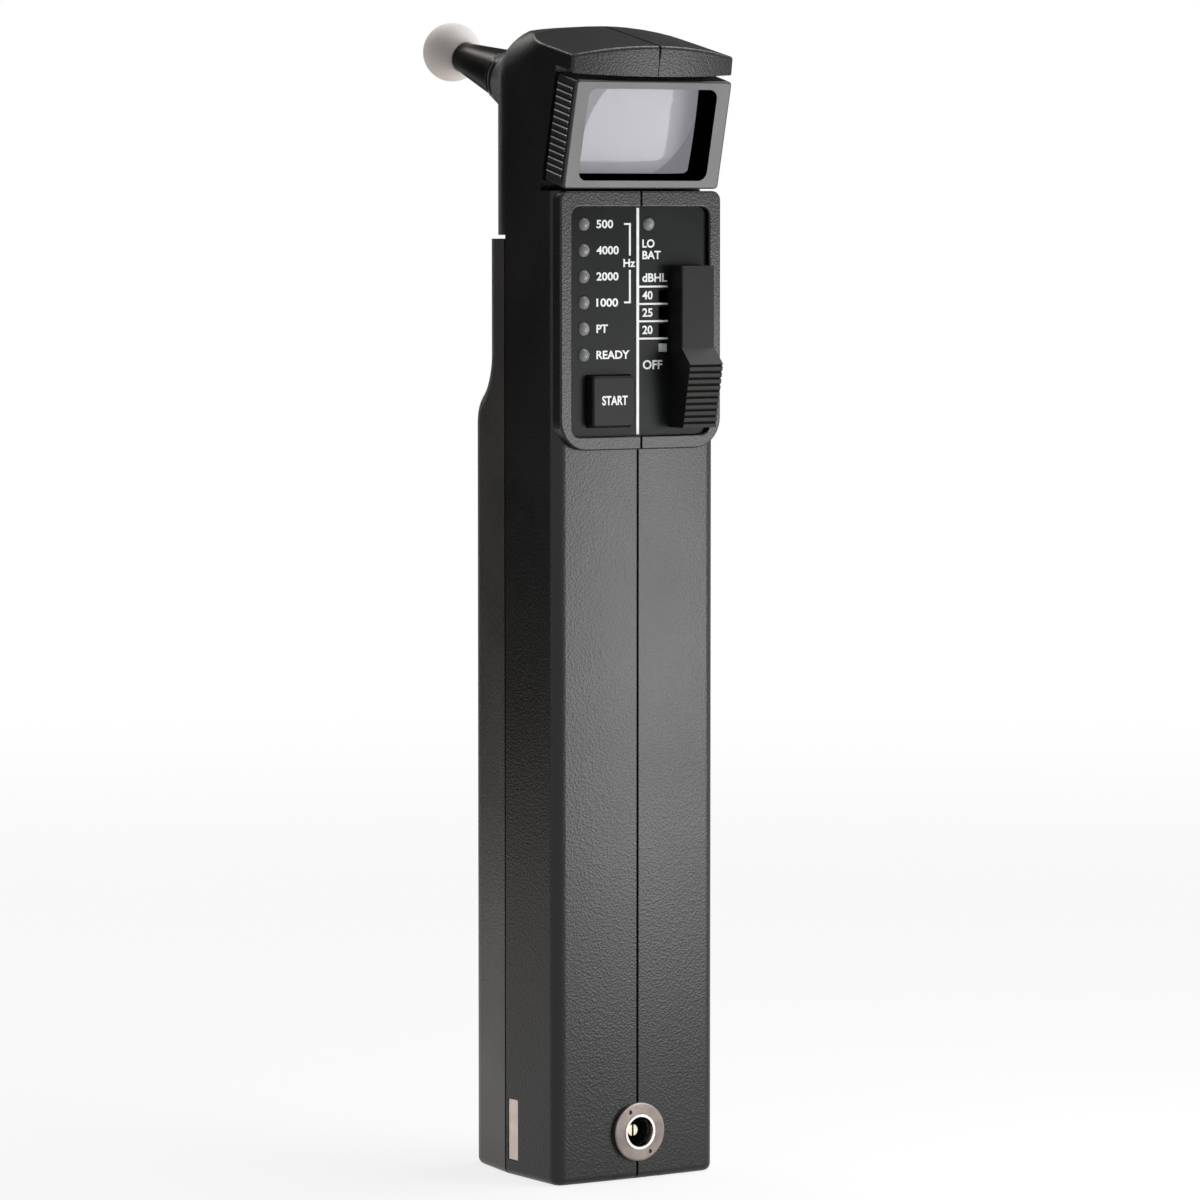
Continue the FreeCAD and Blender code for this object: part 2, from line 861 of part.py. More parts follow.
def add_grip(case):
    """The handle's front shell, crowned across its front, with the panel's raised bezel."""
    crown_arc = (half * half + D.front_crown * D.front_crown) / (D.front_crown * 2)
    plan = Outline()
    plan.to(-half, D.side_seam)
    plan.to(-half, front).arc((0, front - D.front_crown), crown_arc)
    plan.to(half, front)
    plan.to(half, D.side_seam)
    case.extrude("XY", plan, 0, grip_top)
    case.round(D.front_corner, every(runs("z"), on("x", half, -half), on("y", front)))
    case.round(D.base_edge, every(on("z", 0), lambda edge: not on("y", D.side_seam)(edge)))
    bezel = rounded_rectangle(
        -half, half, bezel_bottom, grip_top, D.bezel_low_corner, D.bezel_top_corner
    )
    case.extrude("XZ", bezel, -D.bezel_front, front_inner - D.wall / 2)
    recess = rounded_rectangle(
        -recess_half, recess_half, recess_bottom, recess_top, D.recess_corner, D.recess_corner
    )
    case.extrude("XZ", recess, -D.bezel_front - D.wall, label_back, cut=True)
    case.round(D.bezel_edge, on("y", -D.bezel_front))


def add_nose(case):
    """The tapering nose round the optical axis."""
    back, height = along(D.nose_root)
    case.rod(
        (0, back, height),
        "optical",
        D.nose_end - D.nose_root,
        D.nose_root_radius,
        end_radius=D.nose_end_radius,
    )


def hollow_case(case):
    """The handle's and head's inside, the mouth for the eyepiece and the nose's bore."""
    inside_high = (inner_half, D.side_seam + CLEAR, head_bottom - D.wall)
    case.box((-inner_half, front_inner, D.wall), inside_high, cut=True)
    lip = D.wall / cosine(D.tilt)
    low_back, low_height = along(mouth_place, -D.eye_tall / 2 - D.mouth_below)
    top_back, top_height = along(mouth_place, D.eye_tall / 2)
    roof = visor_front_top - D.wall
    roof_high = D.head_top - D.wall - D.roof_extra
    hall = Outline()
    hall.to(front_inner, head_bottom - D.wall * 2)
    hall.to(front_inner, grip_top - D.wall)
    hall.to(low_back + lip, grip_top - D.wall)
    hall.to(low_back + lip, low_height)
    hall.to(top_back + lip, top_height)
    hall.to(top_back + lip, roof - D.wall)
    hall.to(-D.ridge_back, roof_high - D.wall)
    hall.to(D.side_seam, roof_high - D.wall)
    hall.to(D.side_seam, head_bottom - D.wall * 2)
    case.extrude("YZ", hall, -inner_half, inner_half, cut=True)
    rear = D.neck_back - D.wall
    rear_half = half - D.head_corner + D.wall
    rear_low = (-rear_half, D.side_seam - D.wall, head_bottom + D.wall)
    case.box(rear_low, (rear_half, rear, D.head_top - D.head_corner), cut=True)
    eye_half_tall = D.skirt_tall / 2 + D.slider_gap
    inner_low = along(mouth_place - D.wall, -eye_half_tall)
    inner_low_back = along(mouth_place + D.wall * 2, -eye_half_tall)
    inner_top_back = along(mouth_place + D.wall * 2, eye_half_tall)
    inner_top = along(mouth_place - D.wall, eye_half_tall)
    mouth = polygon(inner_low, inner_low_back, inner_top_back, inner_top)
    case.extrude("YZ", mouth, -inner_half, inner_half, cut=True)
    back, height = along(D.nose_root - D.wall * 2)
    case.rod((0, back, height), "optical", D.nose_end, D.nose_bore, cut=True)


def cut_panel_openings(case, start):
    """The holes for the lamps, the button and the slider's stem, from start backwards."""
    lamp_hole = D.lamp_radius + D.lamp_gap
    through = D.wall * 3
    for step in range(len(TONE_LAMPS)):
        case.rod((-lamp_column, start, lamp_top - D.lamp_pitch * step), "Y", through, lamp_hole, cut=True)
    case.rod((D.battery_lamp_x, start, lamp_top), "Y", through, lamp_hole, cut=True)
    side = D.button_side / 2 + D.button_gap
    case.box(
        (-D.button_x - side, start, button_z - side),
        (side - D.button_x, start + through, button_z + side),
        cut=True,
    )
    slot = D.slider_stem_width / 2 + D.slider_gap
    slot_low = slider_stem_low - D.slider_gap * 2
    slot_high = slider_stem_low + D.slider_stem_long + slider_travel + D.slider_gap * 2
    case.box((slider_x - slot, start, slot_low), (slider_x + slot, start + through, slot_high), cut=True)


def cut_front_openings(case):
    """The holes in the front wall, with the pointer's slot and the power jack's hole."""
    start = label_back - D.wall
    through = D.wall * 3
    cut_panel_openings(case, start)
    flag_high = flag_low + D.flag_tall + slider_travel
    case.box(
        (D.flag_left - D.slider_gap * 2, start, flag_low - D.slider_gap * 2),
        (D.flag_right + D.slider_gap * 2, start + through, flag_high + D.slider_gap * 2),
        cut=True,
    )
    jack_start = front - D.wall
    case.rod((0, jack_start, D.jack_height), "Y", through, D.jack_tube + D.jack_gap, cut=True)


def add_bosses(case):
    """Bosses for the board's screws, the case's cross screws and the cover's screws."""
    foot = front_inner - D.wall / 2
    for side in (-1, 1):
        for level in (D.board_boss_low, board_boss_high):
            case.rod((board_boss_x * side, foot, level), "Y", board_face - foot, D.boss_radius)
            case.rod((board_boss_x * side, front_inner, level), "Y", CLEAR, pilot, cut=True)
        place = (D.cover_screw_x * side, foot, D.cover_screw_z)
        case.rod(place, "Y", D.side_seam - foot, D.boss_radius)
        case.rod((D.cover_screw_x * side, front_inner, D.cover_screw_z), "Y", CLEAR, pilot, cut=True)
    well = half - D.case_screw_sunk
    left_end = -inner_half - D.wall / 2
    for level in (D.case_screw_low, D.case_screw_mid, case_screw_high):
        depth = -D.case_screw_back
        case.rod((left_end, depth, level), "X", well - left_end, D.boss_radius)
        shoulder = well - D.wall
        case.rod((shoulder, depth, level), "X", half - D.wall / 2 - shoulder, head_boss)
        case.rod((well, depth, level), "X", D.case_screw_sunk * 2, head_well, cut=True)
        case.rod((0, depth, level), "X", well + D.wall, D.screw_clear, cut=True)
        case.rod((-inner_half, depth, level), "X", half, pilot, cut=True)


def cut_contact_seats(case):
    """The shallow seats of the charging contacts at the foot of both side walls."""
    depth = D.contact_thick + D.contact_sunk
    back = D.contact_wide - D.contact_front
    middle = (D.contact_low + D.contact_high) / 2
    leg = D.contact_leg / 2
    leg_place = (back - D.contact_front) / 2
    for side in (-1, 1):
        outer = half * side
        low_x, high_x = (outer - depth, outer + D.wall) if side > 0 else (outer - D.wall, outer + depth)
        case.box((low_x, -D.contact_front, D.contact_low), (high_x, back, D.contact_high), cut=True)
        low_x, high_x = (inner_half - D.wall, half) if side > 0 else (-half, D.wall - inner_half)
        gap = D.lamp_gap
        case.box(
            (low_x, leg_place - leg - gap, middle - leg - gap),
            (high_x, leg_place + leg + gap, middle + leg + gap),
            cut=True,
        )


def cut_seam_grooves(case):
    """The narrow groove along the halves' parting line, down the front and over the top."""
    deep = D.seam_groove_deep
    wide = D.seam_groove / 2
    crown = front - D.front_crown
    ahead = crown - D.wall
    case.box((-wide, ahead, -D.wall), (wide, crown + deep, bezel_bottom), cut=True)
    face = -D.bezel_front
    case.box((-wide, face - D.wall, bezel_bottom - deep), (wide, face + deep, grip_top + D.wall), cut=True)
    centre_back, centre_up = D.neck_back - D.head_corner, D.head_top - D.head_corner
    bend = D.head_corner - deep
    over = Outline()
    over.to(-D.visor_reach - CLEAR, visor_low - deep)
    over.to(deep - D.visor_reach, visor_low - deep)
    over.to(deep - D.visor_reach, visor_front_top - deep)
    over.to(-D.ridge_back, D.head_top - deep)
    over.to(centre_back, D.head_top - deep)
    over.arc((centre_back + bend * DIAGONAL, centre_up + bend * DIAGONAL), bend)
    over.to(centre_back + bend, centre_up)
    over.to(centre_back + CLEAR, centre_up)
    over.to(centre_back + CLEAR, D.head_top + CLEAR)
    over.to(-D.visor_reach - CLEAR, D.head_top + CLEAR)
    case.extrude("YZ", over, -wide, wide, cut=True)


def cut_cover_hook(case):
    """The slot in the head's floor that holds the rear cover's hook."""
    gap = D.slider_gap
    case.box(
        (-D.hook_half - gap, D.hook_back - D.hook_thick - gap, head_bottom - D.wall),
        (D.hook_half + gap, D.hook_back + gap, head_bottom + D.wall * 2),
        cut=True,
    )


def build_housing():
    """The case, built whole and then parted on the centre plane into its two halves."""
    case = Piece("case", kept=False)
    add_head(case)
    add_nose(case)
    add_grip(case)
    hollow_case(case)
    add_bosses(case)
    cut_front_openings(case)
    cut_contact_seats(case)
    cut_cover_hook(case)
    cut_seam_grooves(case)
    for label, side in (("housing_left", -1), ("housing_right", 1)):
        far_side = doc.addObject("Part::Box", f"{label}_other_side")
        bind(far_side, "Length", D.case_width)
        bind(far_side, "Width", D.case_width * 4)
        bind(far_side, "Height", D.head_top * 2)
        near = D.parting_gap / 2
        bind(far_side, "Placement.Base.x", -near if side < 0 else near - D.case_width)
        bind(far_side, "Placement.Base.y", -D.case_width * 2)
        bind(far_side, "Placement.Base.z", -D.head_top / 2)
        shell = doc.addObject("Part::Cut", label)
        shell.Label = label
        shell.Base = case.body
        shell.Tool = far_side
        PIECES.append(shell)


def cover_taper_at(back):
    """Returns the rear cover's half width at a distance back."""
    return half - (back - cover_seam) * tangent(D.cover_taper)


def cover_inside(back):
    """The plan of the rear cover's inside where its rear face is at back."""
    corner = back - D.cover_corner
    shape = Outline()
    for side in (1, -1):
        points = [
            ((inner_half - D.wall / 8) * side, cover_seam - D.wall),
            ((inner_half - D.wall / 8) * side, cover_seam),
            ((cover_taper_at(corner) - D.wall) * side, corner),
            ((cover_taper_at(back) - D.cover_corner) * side, back - D.wall),
        ]
        for across, depth in points if side > 0 else reversed(points):
            shape.to(across, depth)
    return shape


def build_rear_cover():
    """The back shell: thin at the neck, swelling to the handle, with tapered sides."""
    cover = Piece("rear_cover")
    swell = D.handle_back - D.neck_back
    rise = D.swell_height
    bend = (rise * rise + swell * swell) / (swell * 4)
    low = swell_low
    side = Outline()
    side.to(cover_seam, 0)
    side.to(D.handle_back, 0)
    side.to(D.handle_back, low).arc((D.handle_back - swell / 8, low + rise / 4), bend)
    side.to(D.handle_back - swell / 2, low + rise / 2)
    side.arc((D.neck_back + swell / 8, low + rise * 3 / 4), bend)
    side.to(D.neck_back, low + rise)
    side.to(D.neck_back, cover_top)
    side.to(cover_seam, cover_top)
    cover.extrude("YZ", side, -half, half)
    beyond = D.handle_back + D.wall
    strips = [
        polygon(
            (half * way, cover_seam),
            (cover_taper_at(beyond) * way, beyond),
            ((half + D.wall) * way, beyond),
            ((half + D.wall) * way, cover_seam),
        )
        for way in (1, -1)
    ]
    cover.extrude("XY", strips, -CLEAR, cover_top + CLEAR, cut=True)
    cover.round(D.cover_corner, rear_upright(D.neck_back))
    cover.round(D.base_edge, every(on("z", 0), lambda edge: not on("y", cover_seam)(edge)))
    cover.extrude("XY", cover_inside(D.handle_back), D.wall, low - D.wall, cut=True)
    cover.extrude("XY", cover_inside(D.neck_back), D.wall, cover_top - D.wall, cut=True)
    for way in (-1, 1):
        outer = inner_half - D.slider_gap
        inner = outer - D.tongue_thick
        low_x, high_x = (inner, outer) if way > 0 else (-outer, -inner)
        cover.box(
            (low_x, cover_seam - D.tongue_depth, D.tongue_low),
            (high_x, cover_seam + D.wall, cover_top - D.tongue_drop),
        )
    cover.box(
        (-D.hook_half, D.hook_back - D.hook_thick, cover_top - D.wall),
        (D.hook_half, D.hook_back, cover_top + D.hook_rise),
    )
    seat = D.handle_back - D.cover_screw_sunk
    for way in (-1, 1):
        across = D.cover_screw_x * way
        level = D.cover_screw_z
        cover.rod((across, cover_seam, level), "Y", seat - cover_seam, D.boss_radius)
        cover.rod((across, seat - D.wall, level), "Y", D.cover_screw_sunk + D.wall / 2, head_boss)
        cover.rod((across, seat, level), "Y", D.cover_screw_sunk * 2, head_well, cut=True)
        cover.rod((across, cover_seam - D.wall, level), "Y", CLEAR, D.screw_clear, cut=True)


def rear_upright(back):
    """Chooses the two upright corner edges behind back."""

    def chosen(edge):
        ends = edge_ends(edge)
        level = abs(ends[0].z - ends[-1].z) < NEAR
        behind = all(end.y > back.value - NEAR for end in ends)
        return behind and not level and all(abs(end.x) > D.cover_corner.value for end in ends)

    return chosen


# ---------------------------------------------------------------- control panel


def build_label():
    """The dark face plate in the bezel's recess, with its openings."""
    label = Piece("panel_label")
    gap = D.lamp_gap
    wide = recess_half - gap
    corner = D.recess_corner
    face = rounded_rectangle(-wide, wide, recess_bottom + gap, recess_top - gap, corner, corner)
    label.extrude("XZ", face, label_front, label_back)
    cut_panel_openings(label, label_front - D.wall)
    height = flag_low + D.flag_tall / 2
    for step in range(LEVEL_STEPS + 1):
        middle = height + D.slider_step * step
        across = (D.flag_left + D.flag_right) / 2
        label.box(
            (across - D.window_width / 2, label_front - D.wall, middle - D.window_tall / 2),
            (across + D.window_width / 2, label_back + D.wall, middle + D.window_tall / 2),
            cut=True,
        )


def lamp_place(step):
    return -lamp_column, lamp_top - D.lamp_pitch * step


def build_lamp(label, across, height):
    """One lamp: a flange on the board and a column with a low dome at the label."""
    lamp = Piece(label)
    bind(lamp.body, "Placement.Base.x", across)
    bind(lamp.body, "Placement.Base.z", height)
    tip = label_front - D.lamp_proud
    dome = (D.lamp_radius * D.lamp_radius + D.lamp_proud * D.lamp_proud) / (D.lamp_proud * 2)
    flange = board_face - D.lamp_flange_thick
    profile = Outline()
    profile.to(board_face, 0)
    profile.to(board_face, D.lamp_flange)
    profile.to(flange, D.lamp_flange)
    profile.to(flange, D.lamp_radius)
    profile.to(label_front, D.lamp_radius)
    profile.arc((label_front - D.lamp_proud * DIAGONAL, D.lamp_radius * DIAGONAL), dome)
    profile.to(tip, 0)
    lamp.spin(profile)


def build_lamps():
    for step, label in enumerate(TONE_LAMPS):
        across, height = lamp_place(step)
        build_lamp(label, across, height)
    build_lamp("lamp_low_battery", D.battery_lamp_x, lamp_top)


def build_button():
    """The start button: a square cap, the flange that keeps it in, and its stem."""
    button = Piece("start_button")
    side = D.button_side / 2
    cap_front = label_front - D.button_proud
    flange_front = front_inner + D.slider_gap
    flange_back = flange_front + D.button_flange_thick
    left, right = -D.button_x - side, side - D.button_x
    corner = D.button_corner
    cap = rounded_rectangle(left, right, button_z - side, button_z + side, corner, corner)
    button.extrude("XZ", cap, cap_front, flange_back)
    button.round(D.button_edge, on("y", cap_front))
    reach = side + D.button_flange
    button.box(
        (-D.button_x - reach, flange_front, button_z - reach),
        (reach - D.button_x, flange_back, button_z + reach),
    )
    stem_end = plunger_top - D.button_travel - D.plunger_gap
    button.rod((-D.button_x, flange_front, button_z), "Y", stem_end - flange_front, D.stem_radius)


def build_start_switch():
    """The push switch on the board behind the button."""
    switch = Piece("start_switch")
    side = D.switch_side / 2
    body_front = board_face - D.switch_tall
    switch.box(
        (-D.button_x - side, body_front, button_z - side),
        (side - D.button_x, board_face, button_z + side),
    )
    switch.rod((-D.button_x, plunger_top, button_z), "Y", board_face - plunger_top, D.stem_radius)


def build_slider():
    """The level slider: block, shoulder and grooved thumb ramp, stem, carriage and nub."""
    slider = Piece("level_slider")
    base = label_front - D.slider_gap
    face = label_front - D.slider_rise
    foot = face - D.thumb_foot
    peak = face - D.thumb_peak
    count = int(D.thumb_grooves.value)
    side = Outline()
    side.to(base, slider_bottom)
    side.to(foot, slider_bottom)
    for groove in range(count):
        for part, deep in ((GROOVE_START, 0), (GROOVE_MIDDLE, 1)):
            share = (dim(groove) + part) / D.thumb_grooves
            ramp = foot + (peak - foot) * share
            side.to(ramp + D.groove_deep * deep, slider_bottom + D.thumb_long * share)
        share = dim(groove + 1) / D.thumb_grooves
        side.to(foot + (peak - foot) * share, slider_bottom + D.thumb_long * share)
    side.to(face, slider_bottom + D.thumb_long + D.shoulder_long)
    side.to(face, slider_top)
    side.to(base, slider_top)
    wide = D.slider_width / 2
    slider.extrude("YZ", side, slider_x - wide, slider_x + wide)
    slider.round(D.slider_edge, every(runs("z"), on("y", face)))
    stem = D.slider_stem_width / 2
    high = slider_stem_low + D.slider_stem_long
    slider.box((slider_x - stem, base - D.wall, slider_stem_low), (slider_x + stem, carriage_back, high))
    carriage = D.carriage_width / 2
    slider.box(
        (slider_x - carriage, carriage_front, slider_stem_low), (slider_x + carriage, carriage_back, high)
    )
    nub = D.nub_side / 2
    middle = slider_stem_low + D.slider_stem_long / 2
    nub_end = board_face - D.level_switch_tall + D.nub_side * DIAGONAL
    slider.box((slider_x - nub, carriage_front, middle - nub), (slider_x + nub, nub_end, middle + nub))


def build_pointer():
    """The pale flag behind the label's windows, on an arm from the slider's carriage."""
    pointer = Piece("level_pointer")
    high = flag_low + D.flag_tall
    flag_front = label_back + D.lamp_gap
    arm_end = slider_x - D.carriage_width / 2
    left, right = D.flag_left + D.slider_gap, D.flag_right - D.slider_gap
    flag_back = flag_front + D.flag_thick
    pointer.box((D.flag_left, flag_front, flag_low), (D.flag_right, flag_back, high))
    pointer.box((left, flag_front, flag_low), (right, carriage_back, high))
    pointer.box((left, carriage_front, flag_low), (arm_end, carriage_back, high))


def build_level_switch():
    """The slide switch on the board that the slider's nub moves."""
    switch = Piece("level_switch")
    wide = D.level_switch_width / 2
    body_front = board_face - D.level_switch_tall
    switch.box(
        (slider_x - wide, body_front, level_switch_low), (slider_x + wide, board_face, level_switch_high)
    )
    nub = D.nub_side / 2 + D.slider_gap
    middle = slider_stem_low + D.slider_stem_long / 2
    switch.box(
        (slider_x - nub, body_front - D.wall, middle - nub),
        (slider_x + nub, body_front + D.nub_side, middle + nub + slider_travel),
        cut=True,
    )


# ---------------------------------------------------------------- eyepiece


def build_eyepiece():
    """The eyepiece's frame: a ribbed flange, and a skirt that slides in the head."""
    frame = Piece("eyepiece_frame", optical=True)
    wide, tall = eye_width / 2, D.eye_tall / 2
    corner = D.eye_corner
    flange = rounded_rectangle(-wide, wide, -tall, tall, corner, corner)
    frame.extrude("XZ", flange, 0, D.flange_depth)
    frame.round(D.eye_edge, on("y", 0))
    skirt_wide, skirt_tall = skirt_width / 2, D.skirt_tall / 2
    skirt = rounded_rectangle(-skirt_wide, skirt_wide, -skirt_tall, skirt_tall, corner, corner)
    end = D.flange_depth + D.skirt_depth
    frame.extrude("XZ", skirt, D.flange_depth - D.wall, end)
    wide, tall = opening_width / 2, D.opening_tall / 2
    opening = rounded_rectangle(-wide, wide, -tall, tall, D.opening_corner, D.opening_corner)
    frame.extrude("XZ", opening, -D.wall, D.lens_depth, cut=True)
    tunnel = rectangle(-tunnel_wide, tunnel_wide, -tunnel_tall, tunnel_tall)
    frame.extrude("XZ", tunnel, D.lens_depth, end + D.wall, cut=True)
    add_ribs(frame)


def add_ribs(frame):
    """The short finger ribs on both cheeks, one above the other."""
    rise = D.rib_pitch * (D.rib_count - 1)
    start = -(rise + D.rib_high) / 2
    cheek = eye_width / 2
    rib_front = D.flange_depth - D.rib_length - D.rib_back
    ribs = []
    for low_x, high_x in ((cheek - D.wall, cheek + D.rib_proud), (-cheek - D.rib_proud, D.wall - cheek)):
        frame.box((low_x, rib_front, start), (high_x, rib_front + D.rib_length, start + D.rib_high))
        ribs.append(frame.body.Tip)
    rows = frame.feature("LinearPattern")
    rows.Originals = ribs
    upward = next(item for item in frame.body.Origin.OriginFeatures if item.Role == "Z_Axis")
    rows.Direction = (upward, [""])
    bind(rows, "Length", rise)
    bind(rows, "Occurrences", D.rib_count)
    frame.body.Tip = rows


def build_lens():
    """The magnifying lens: a rectangular plate with a domed front."""
    lens = Piece("eyepiece_lens", optical=True)
    wide, tall = lens_width / 2, D.lens_tall / 2
    lens.extrude("XZ", rectangle(-wide, wide, -tall, tall), lens_apex, lens_back)
    reach = lens_width
    sag = D.lens_radius - root(D.lens_radius * D.lens_radius - reach * reach)
    ahead = Outline()
    ahead.to(lens_apex, 0).arc((lens_apex + sag / 4, reach / 2), D.lens_radius)
    ahead.to(lens_apex + sag, reach)
    ahead.to(lens_apex - D.wall, reach)
    ahead.to(lens_apex - D.wall, 0)
    lens.spin(ahead, cut=True)


def build_retainer():
    """The frame behind the lens that holds it against its seat."""
    retainer = Piece("lens_retainer", optical=True)
    wide, tall = tunnel_wide - D.lens_play / 2, tunnel_tall - D.lens_play / 2
    end = lens_back + D.retainer_thick
    retainer.extrude("XZ", rectangle(-wide, wide, -tall, tall), lens_back, end)
    wide, tall = wide - D.retainer_rim, tall - D.retainer_rim
    opening = rectangle(-wide, wide, -tall, tall)
    retainer.extrude("XZ", opening, lens_back - D.wall, end + D.wall, cut=True)


# ---------------------------------------------------------------- inside the head


def build_chassis():
    """The plate across the head that carries the lamp and guards the light path."""
    chassis = Piece("head_chassis", optical=True)
    wide = inner_half - D.eye_gap
    end = D.chassis_place + D.chassis_thick
    chassis.box((-wide, D.chassis_place, -D.chassis_tall_down), (wide, end, D.chassis_tall_up))
    chassis.rod((0, D.chassis_place - D.wall, 0), "Y", D.wall * 4, D.chassis_hole, cut=True)


def build_bulb():
    """The lamp that lights the ear, on the chassis above the light path."""
    bulb = Piece("illumination_lamp", optical=True)
    start = D.chassis_place + D.chassis_thick
    length = D.bulb_long / 2
    tip = D.bulb_radius / 2
    bulb.rod((0, start, D.bulb_up), "Y", length, D.bulb_radius)
    bulb.rod((0, start + length, D.bulb_up), "Y", length, D.bulb_radius, end_radius=tip)


def build_receiver():
    """The sound receiver on the head's floor, and the tube that carries its sound up."""
    receiver = Piece("sound_receiver")
    height = head_floor + D.eye_gap + D.receiver_radius
    start = height + D.port_floor
    receiver.rod((-D.receiver_long / 2, D.receiver_back, height), "X", D.receiver_long, D.receiver_radius)
    receiver.rod((0, D.tube_back, start), "Z", D.receiver_radius, D.tube_outer + D.mount_play, cut=True)
    tube = Piece("sound_tube")
    sleeve_height = eye_height + (D.tube_back + D.eye_front) * tangent(D.tilt)
    top = sleeve_height - sleeve_radius / cosine(D.tilt) - D.eye_gap
    tube.rod((0, D.tube_back, start), "Z", top - start, D.tube_outer)
    tube.rod((0, D.tube_back, start - D.wall), "Z", CLEAR, D.tube_inner, cut=True)


def build_mount():
    """The sleeve in the nose, its two collar rings and the spigot for the ear tip."""
    mount = Piece("speculum_mount", optical=True)
    profile = polygon(
        (D.mount_start, D.mount_bore),
        (D.mount_start, sleeve_radius),
        (D.nose_end, sleeve_radius),
        (D.nose_end, D.collar_radius),
        (collar_end, D.collar_radius),
        (collar_end, D.collar_groove_radius),
        (rim_start, D.collar_groove_radius),
        (rim_start, D.rim_radius),
        (rim_end, D.rim_radius),
        (rim_end, D.spigot_radius),
        (spigot_end, D.spigot_end_radius),
        (spigot_end, D.spigot_end_radius - D.cone_wall),
        (D.nose_end, D.mount_bore),
    )
    mount.spin(profile)
    mount.round(D.collar_edge, every(circles, wider_than(D.collar_groove_radius)))


def circles(edge):
    """Chooses whole circles."""
    return edge.Curve.TypeId == "Part::GeomCircle"


def wider_than(radius):
    def chosen(edge):
        return edge.Curve.Radius > radius.value + NEAR

    return chosen


# ---------------------------------------------------------------- ear tip


def build_cone():
    """The black cone that plugs onto the spigot and carries the ball on its tube."""
    cone = Piece("ear_tip_cone", optical=True)
    start = rim_end + D.tip_gap
    inner_end = spigot_end + D.tip_gap
    profile = polygon(
        (start, D.spigot_radius + D.tip_gap),
        (start, D.cone_root_radius),
        (ball_back, D.neck_radius),
        (ball_back, D.tube_radius),
        (ball_front, D.tube_radius),
        (ball_front, D.sound_bore),
        (ball_back, D.sound_bore),
        (inner_end, D.spigot_end_radius + D.tip_gap),
    )
    cone.spin(profile)


def build_ball():
    """The soft ball tip round the cone's tube."""
    ball = Piece("ear_tip_ball", optical=True)
    profile = Outline()
    profile.to(ball_back, D.tube_radius)
    profile.to(ball_back, ball_mouth).arc((D.ball_centre, D.ball_radius), D.ball_radius)
    profile.to(ball_front, D.tube_radius)
    ball.spin(profile)


# ---------------------------------------------------------------- electronics and power


def build_board():
    """The main circuit board behind the front wall, and the two chips on its back."""
    board = Piece("main_board")
    low = (-board_half_width, board_face, D.board_low)
    board.box(low, (board_half_width, board_back, board_high))
    for side in (-1, 1):
        for level in (D.board_boss_low, board_boss_high):
            place = (board_boss_x * side, board_face - D.wall, level)
            board.rod(place, "Y", D.wall * 3, D.screw_clear, cut=True)
    build_chip("processor_chip", D.processor_height, D.chip_size)
    build_chip("amplifier_chip", D.amplifier_height, D.small_chip_size)


def build_chip(label, height, side):
    """A square chip in the middle of the board's back."""
    chip = Piece(label)
    reach = side / 2
    high = (reach, board_back + D.chip_thick, height + reach)
    chip.box((-reach, board_back, height - reach), high)


def build_jack():
    """The power jack: body and threaded tube, the ring nut outside, and the split pin."""
    body = Piece("power_jack_body")
    ring_back = front - D.front_crown
    ring_front = ring_back - D.jack_ring_thick
    tip = ring_front - D.jack_gap
    body.box(
        (-D.jack_body_half, front_inner, D.jack_body_low),
        (D.jack_body_half, -D.jack_body_back, D.jack_body_high),
    )
    body.rod((0, tip, D.jack_height), "Y", front_inner - tip + D.wall, D.jack_tube)
    body.rod((0, tip - D.wall, D.jack_height), "Y", D.jack_bore_long + D.wall, D.jack_bore, cut=True)
    nut = Piece("power_jack_nut")
    nut.rod((0, ring_front, D.jack_height), "Y", D.jack_ring_thick, D.jack_ring)
    nut.round(D.collar_edge, every(circles, on("y", ring_front)))
    ahead = ring_front - D.wall
    nut.rod((0, ahead, D.jack_height), "Y", CLEAR, D.jack_tube + D.jack_play, cut=True)
    deep = D.wall + D.jack_ring_thick / 2
    middle = (D.jack_ring + D.jack_tube) / 2
    for way in (-1, 1):
        across = middle * sine(dim(SPANNER_ANGLE)) * way
        up = middle * cosine(dim(SPANNER_ANGLE)) * way
        nut.rod((across, ahead, D.jack_height + up), "Y", deep, D.spanner_hole, cut=True)
    pin = Piece("power_jack_pin")
    pin_front = tip + D.pin_sunk
    pin_end = tip + D.jack_bore_long
    pin.rod((0, pin_front, D.jack_height), "Y", pin_end - pin_front, D.pin_radius)
    slot = D.pin_slot / 2
    reach = D.pin_radius * 2
    low = (-slot, pin_front - D.wall, D.jack_height - reach)
    pin.box(low, (slot, pin_front + D.wall * 2, D.jack_height + reach), cut=True)


def build_contacts():
    """The charging contacts: a plate in each side wall's seat, with a leg through it."""
    back = D.contact_wide - D.contact_front
    middle = (D.contact_low + D.contact_high) / 2
    leg_place = (back - D.contact_front) / 2
    leg = D.contact_leg / 2
    gap = D.contact_play
    for label, side in (("charging_contact_left", -1), ("charging_contact_right", 1)):
        contact = Piece(label)
        outer = half - D.contact_sunk
        inner = outer - D.contact_thick
        leg_end = inner_half - D.contact_leg
        low_x, high_x = (inner, outer) if side > 0 else (-outer, -inner)
        low = (low_x, gap - D.contact_front, D.contact_low + gap)
        contact.box(low, (high_x, back - gap, D.contact_high - gap))
        low_x, high_x = (leg_end, outer) if side > 0 else (-outer, -leg_end)
        contact.box((low_x, leg_place - leg, middle - leg), (high_x, leg_place + leg, middle + leg))


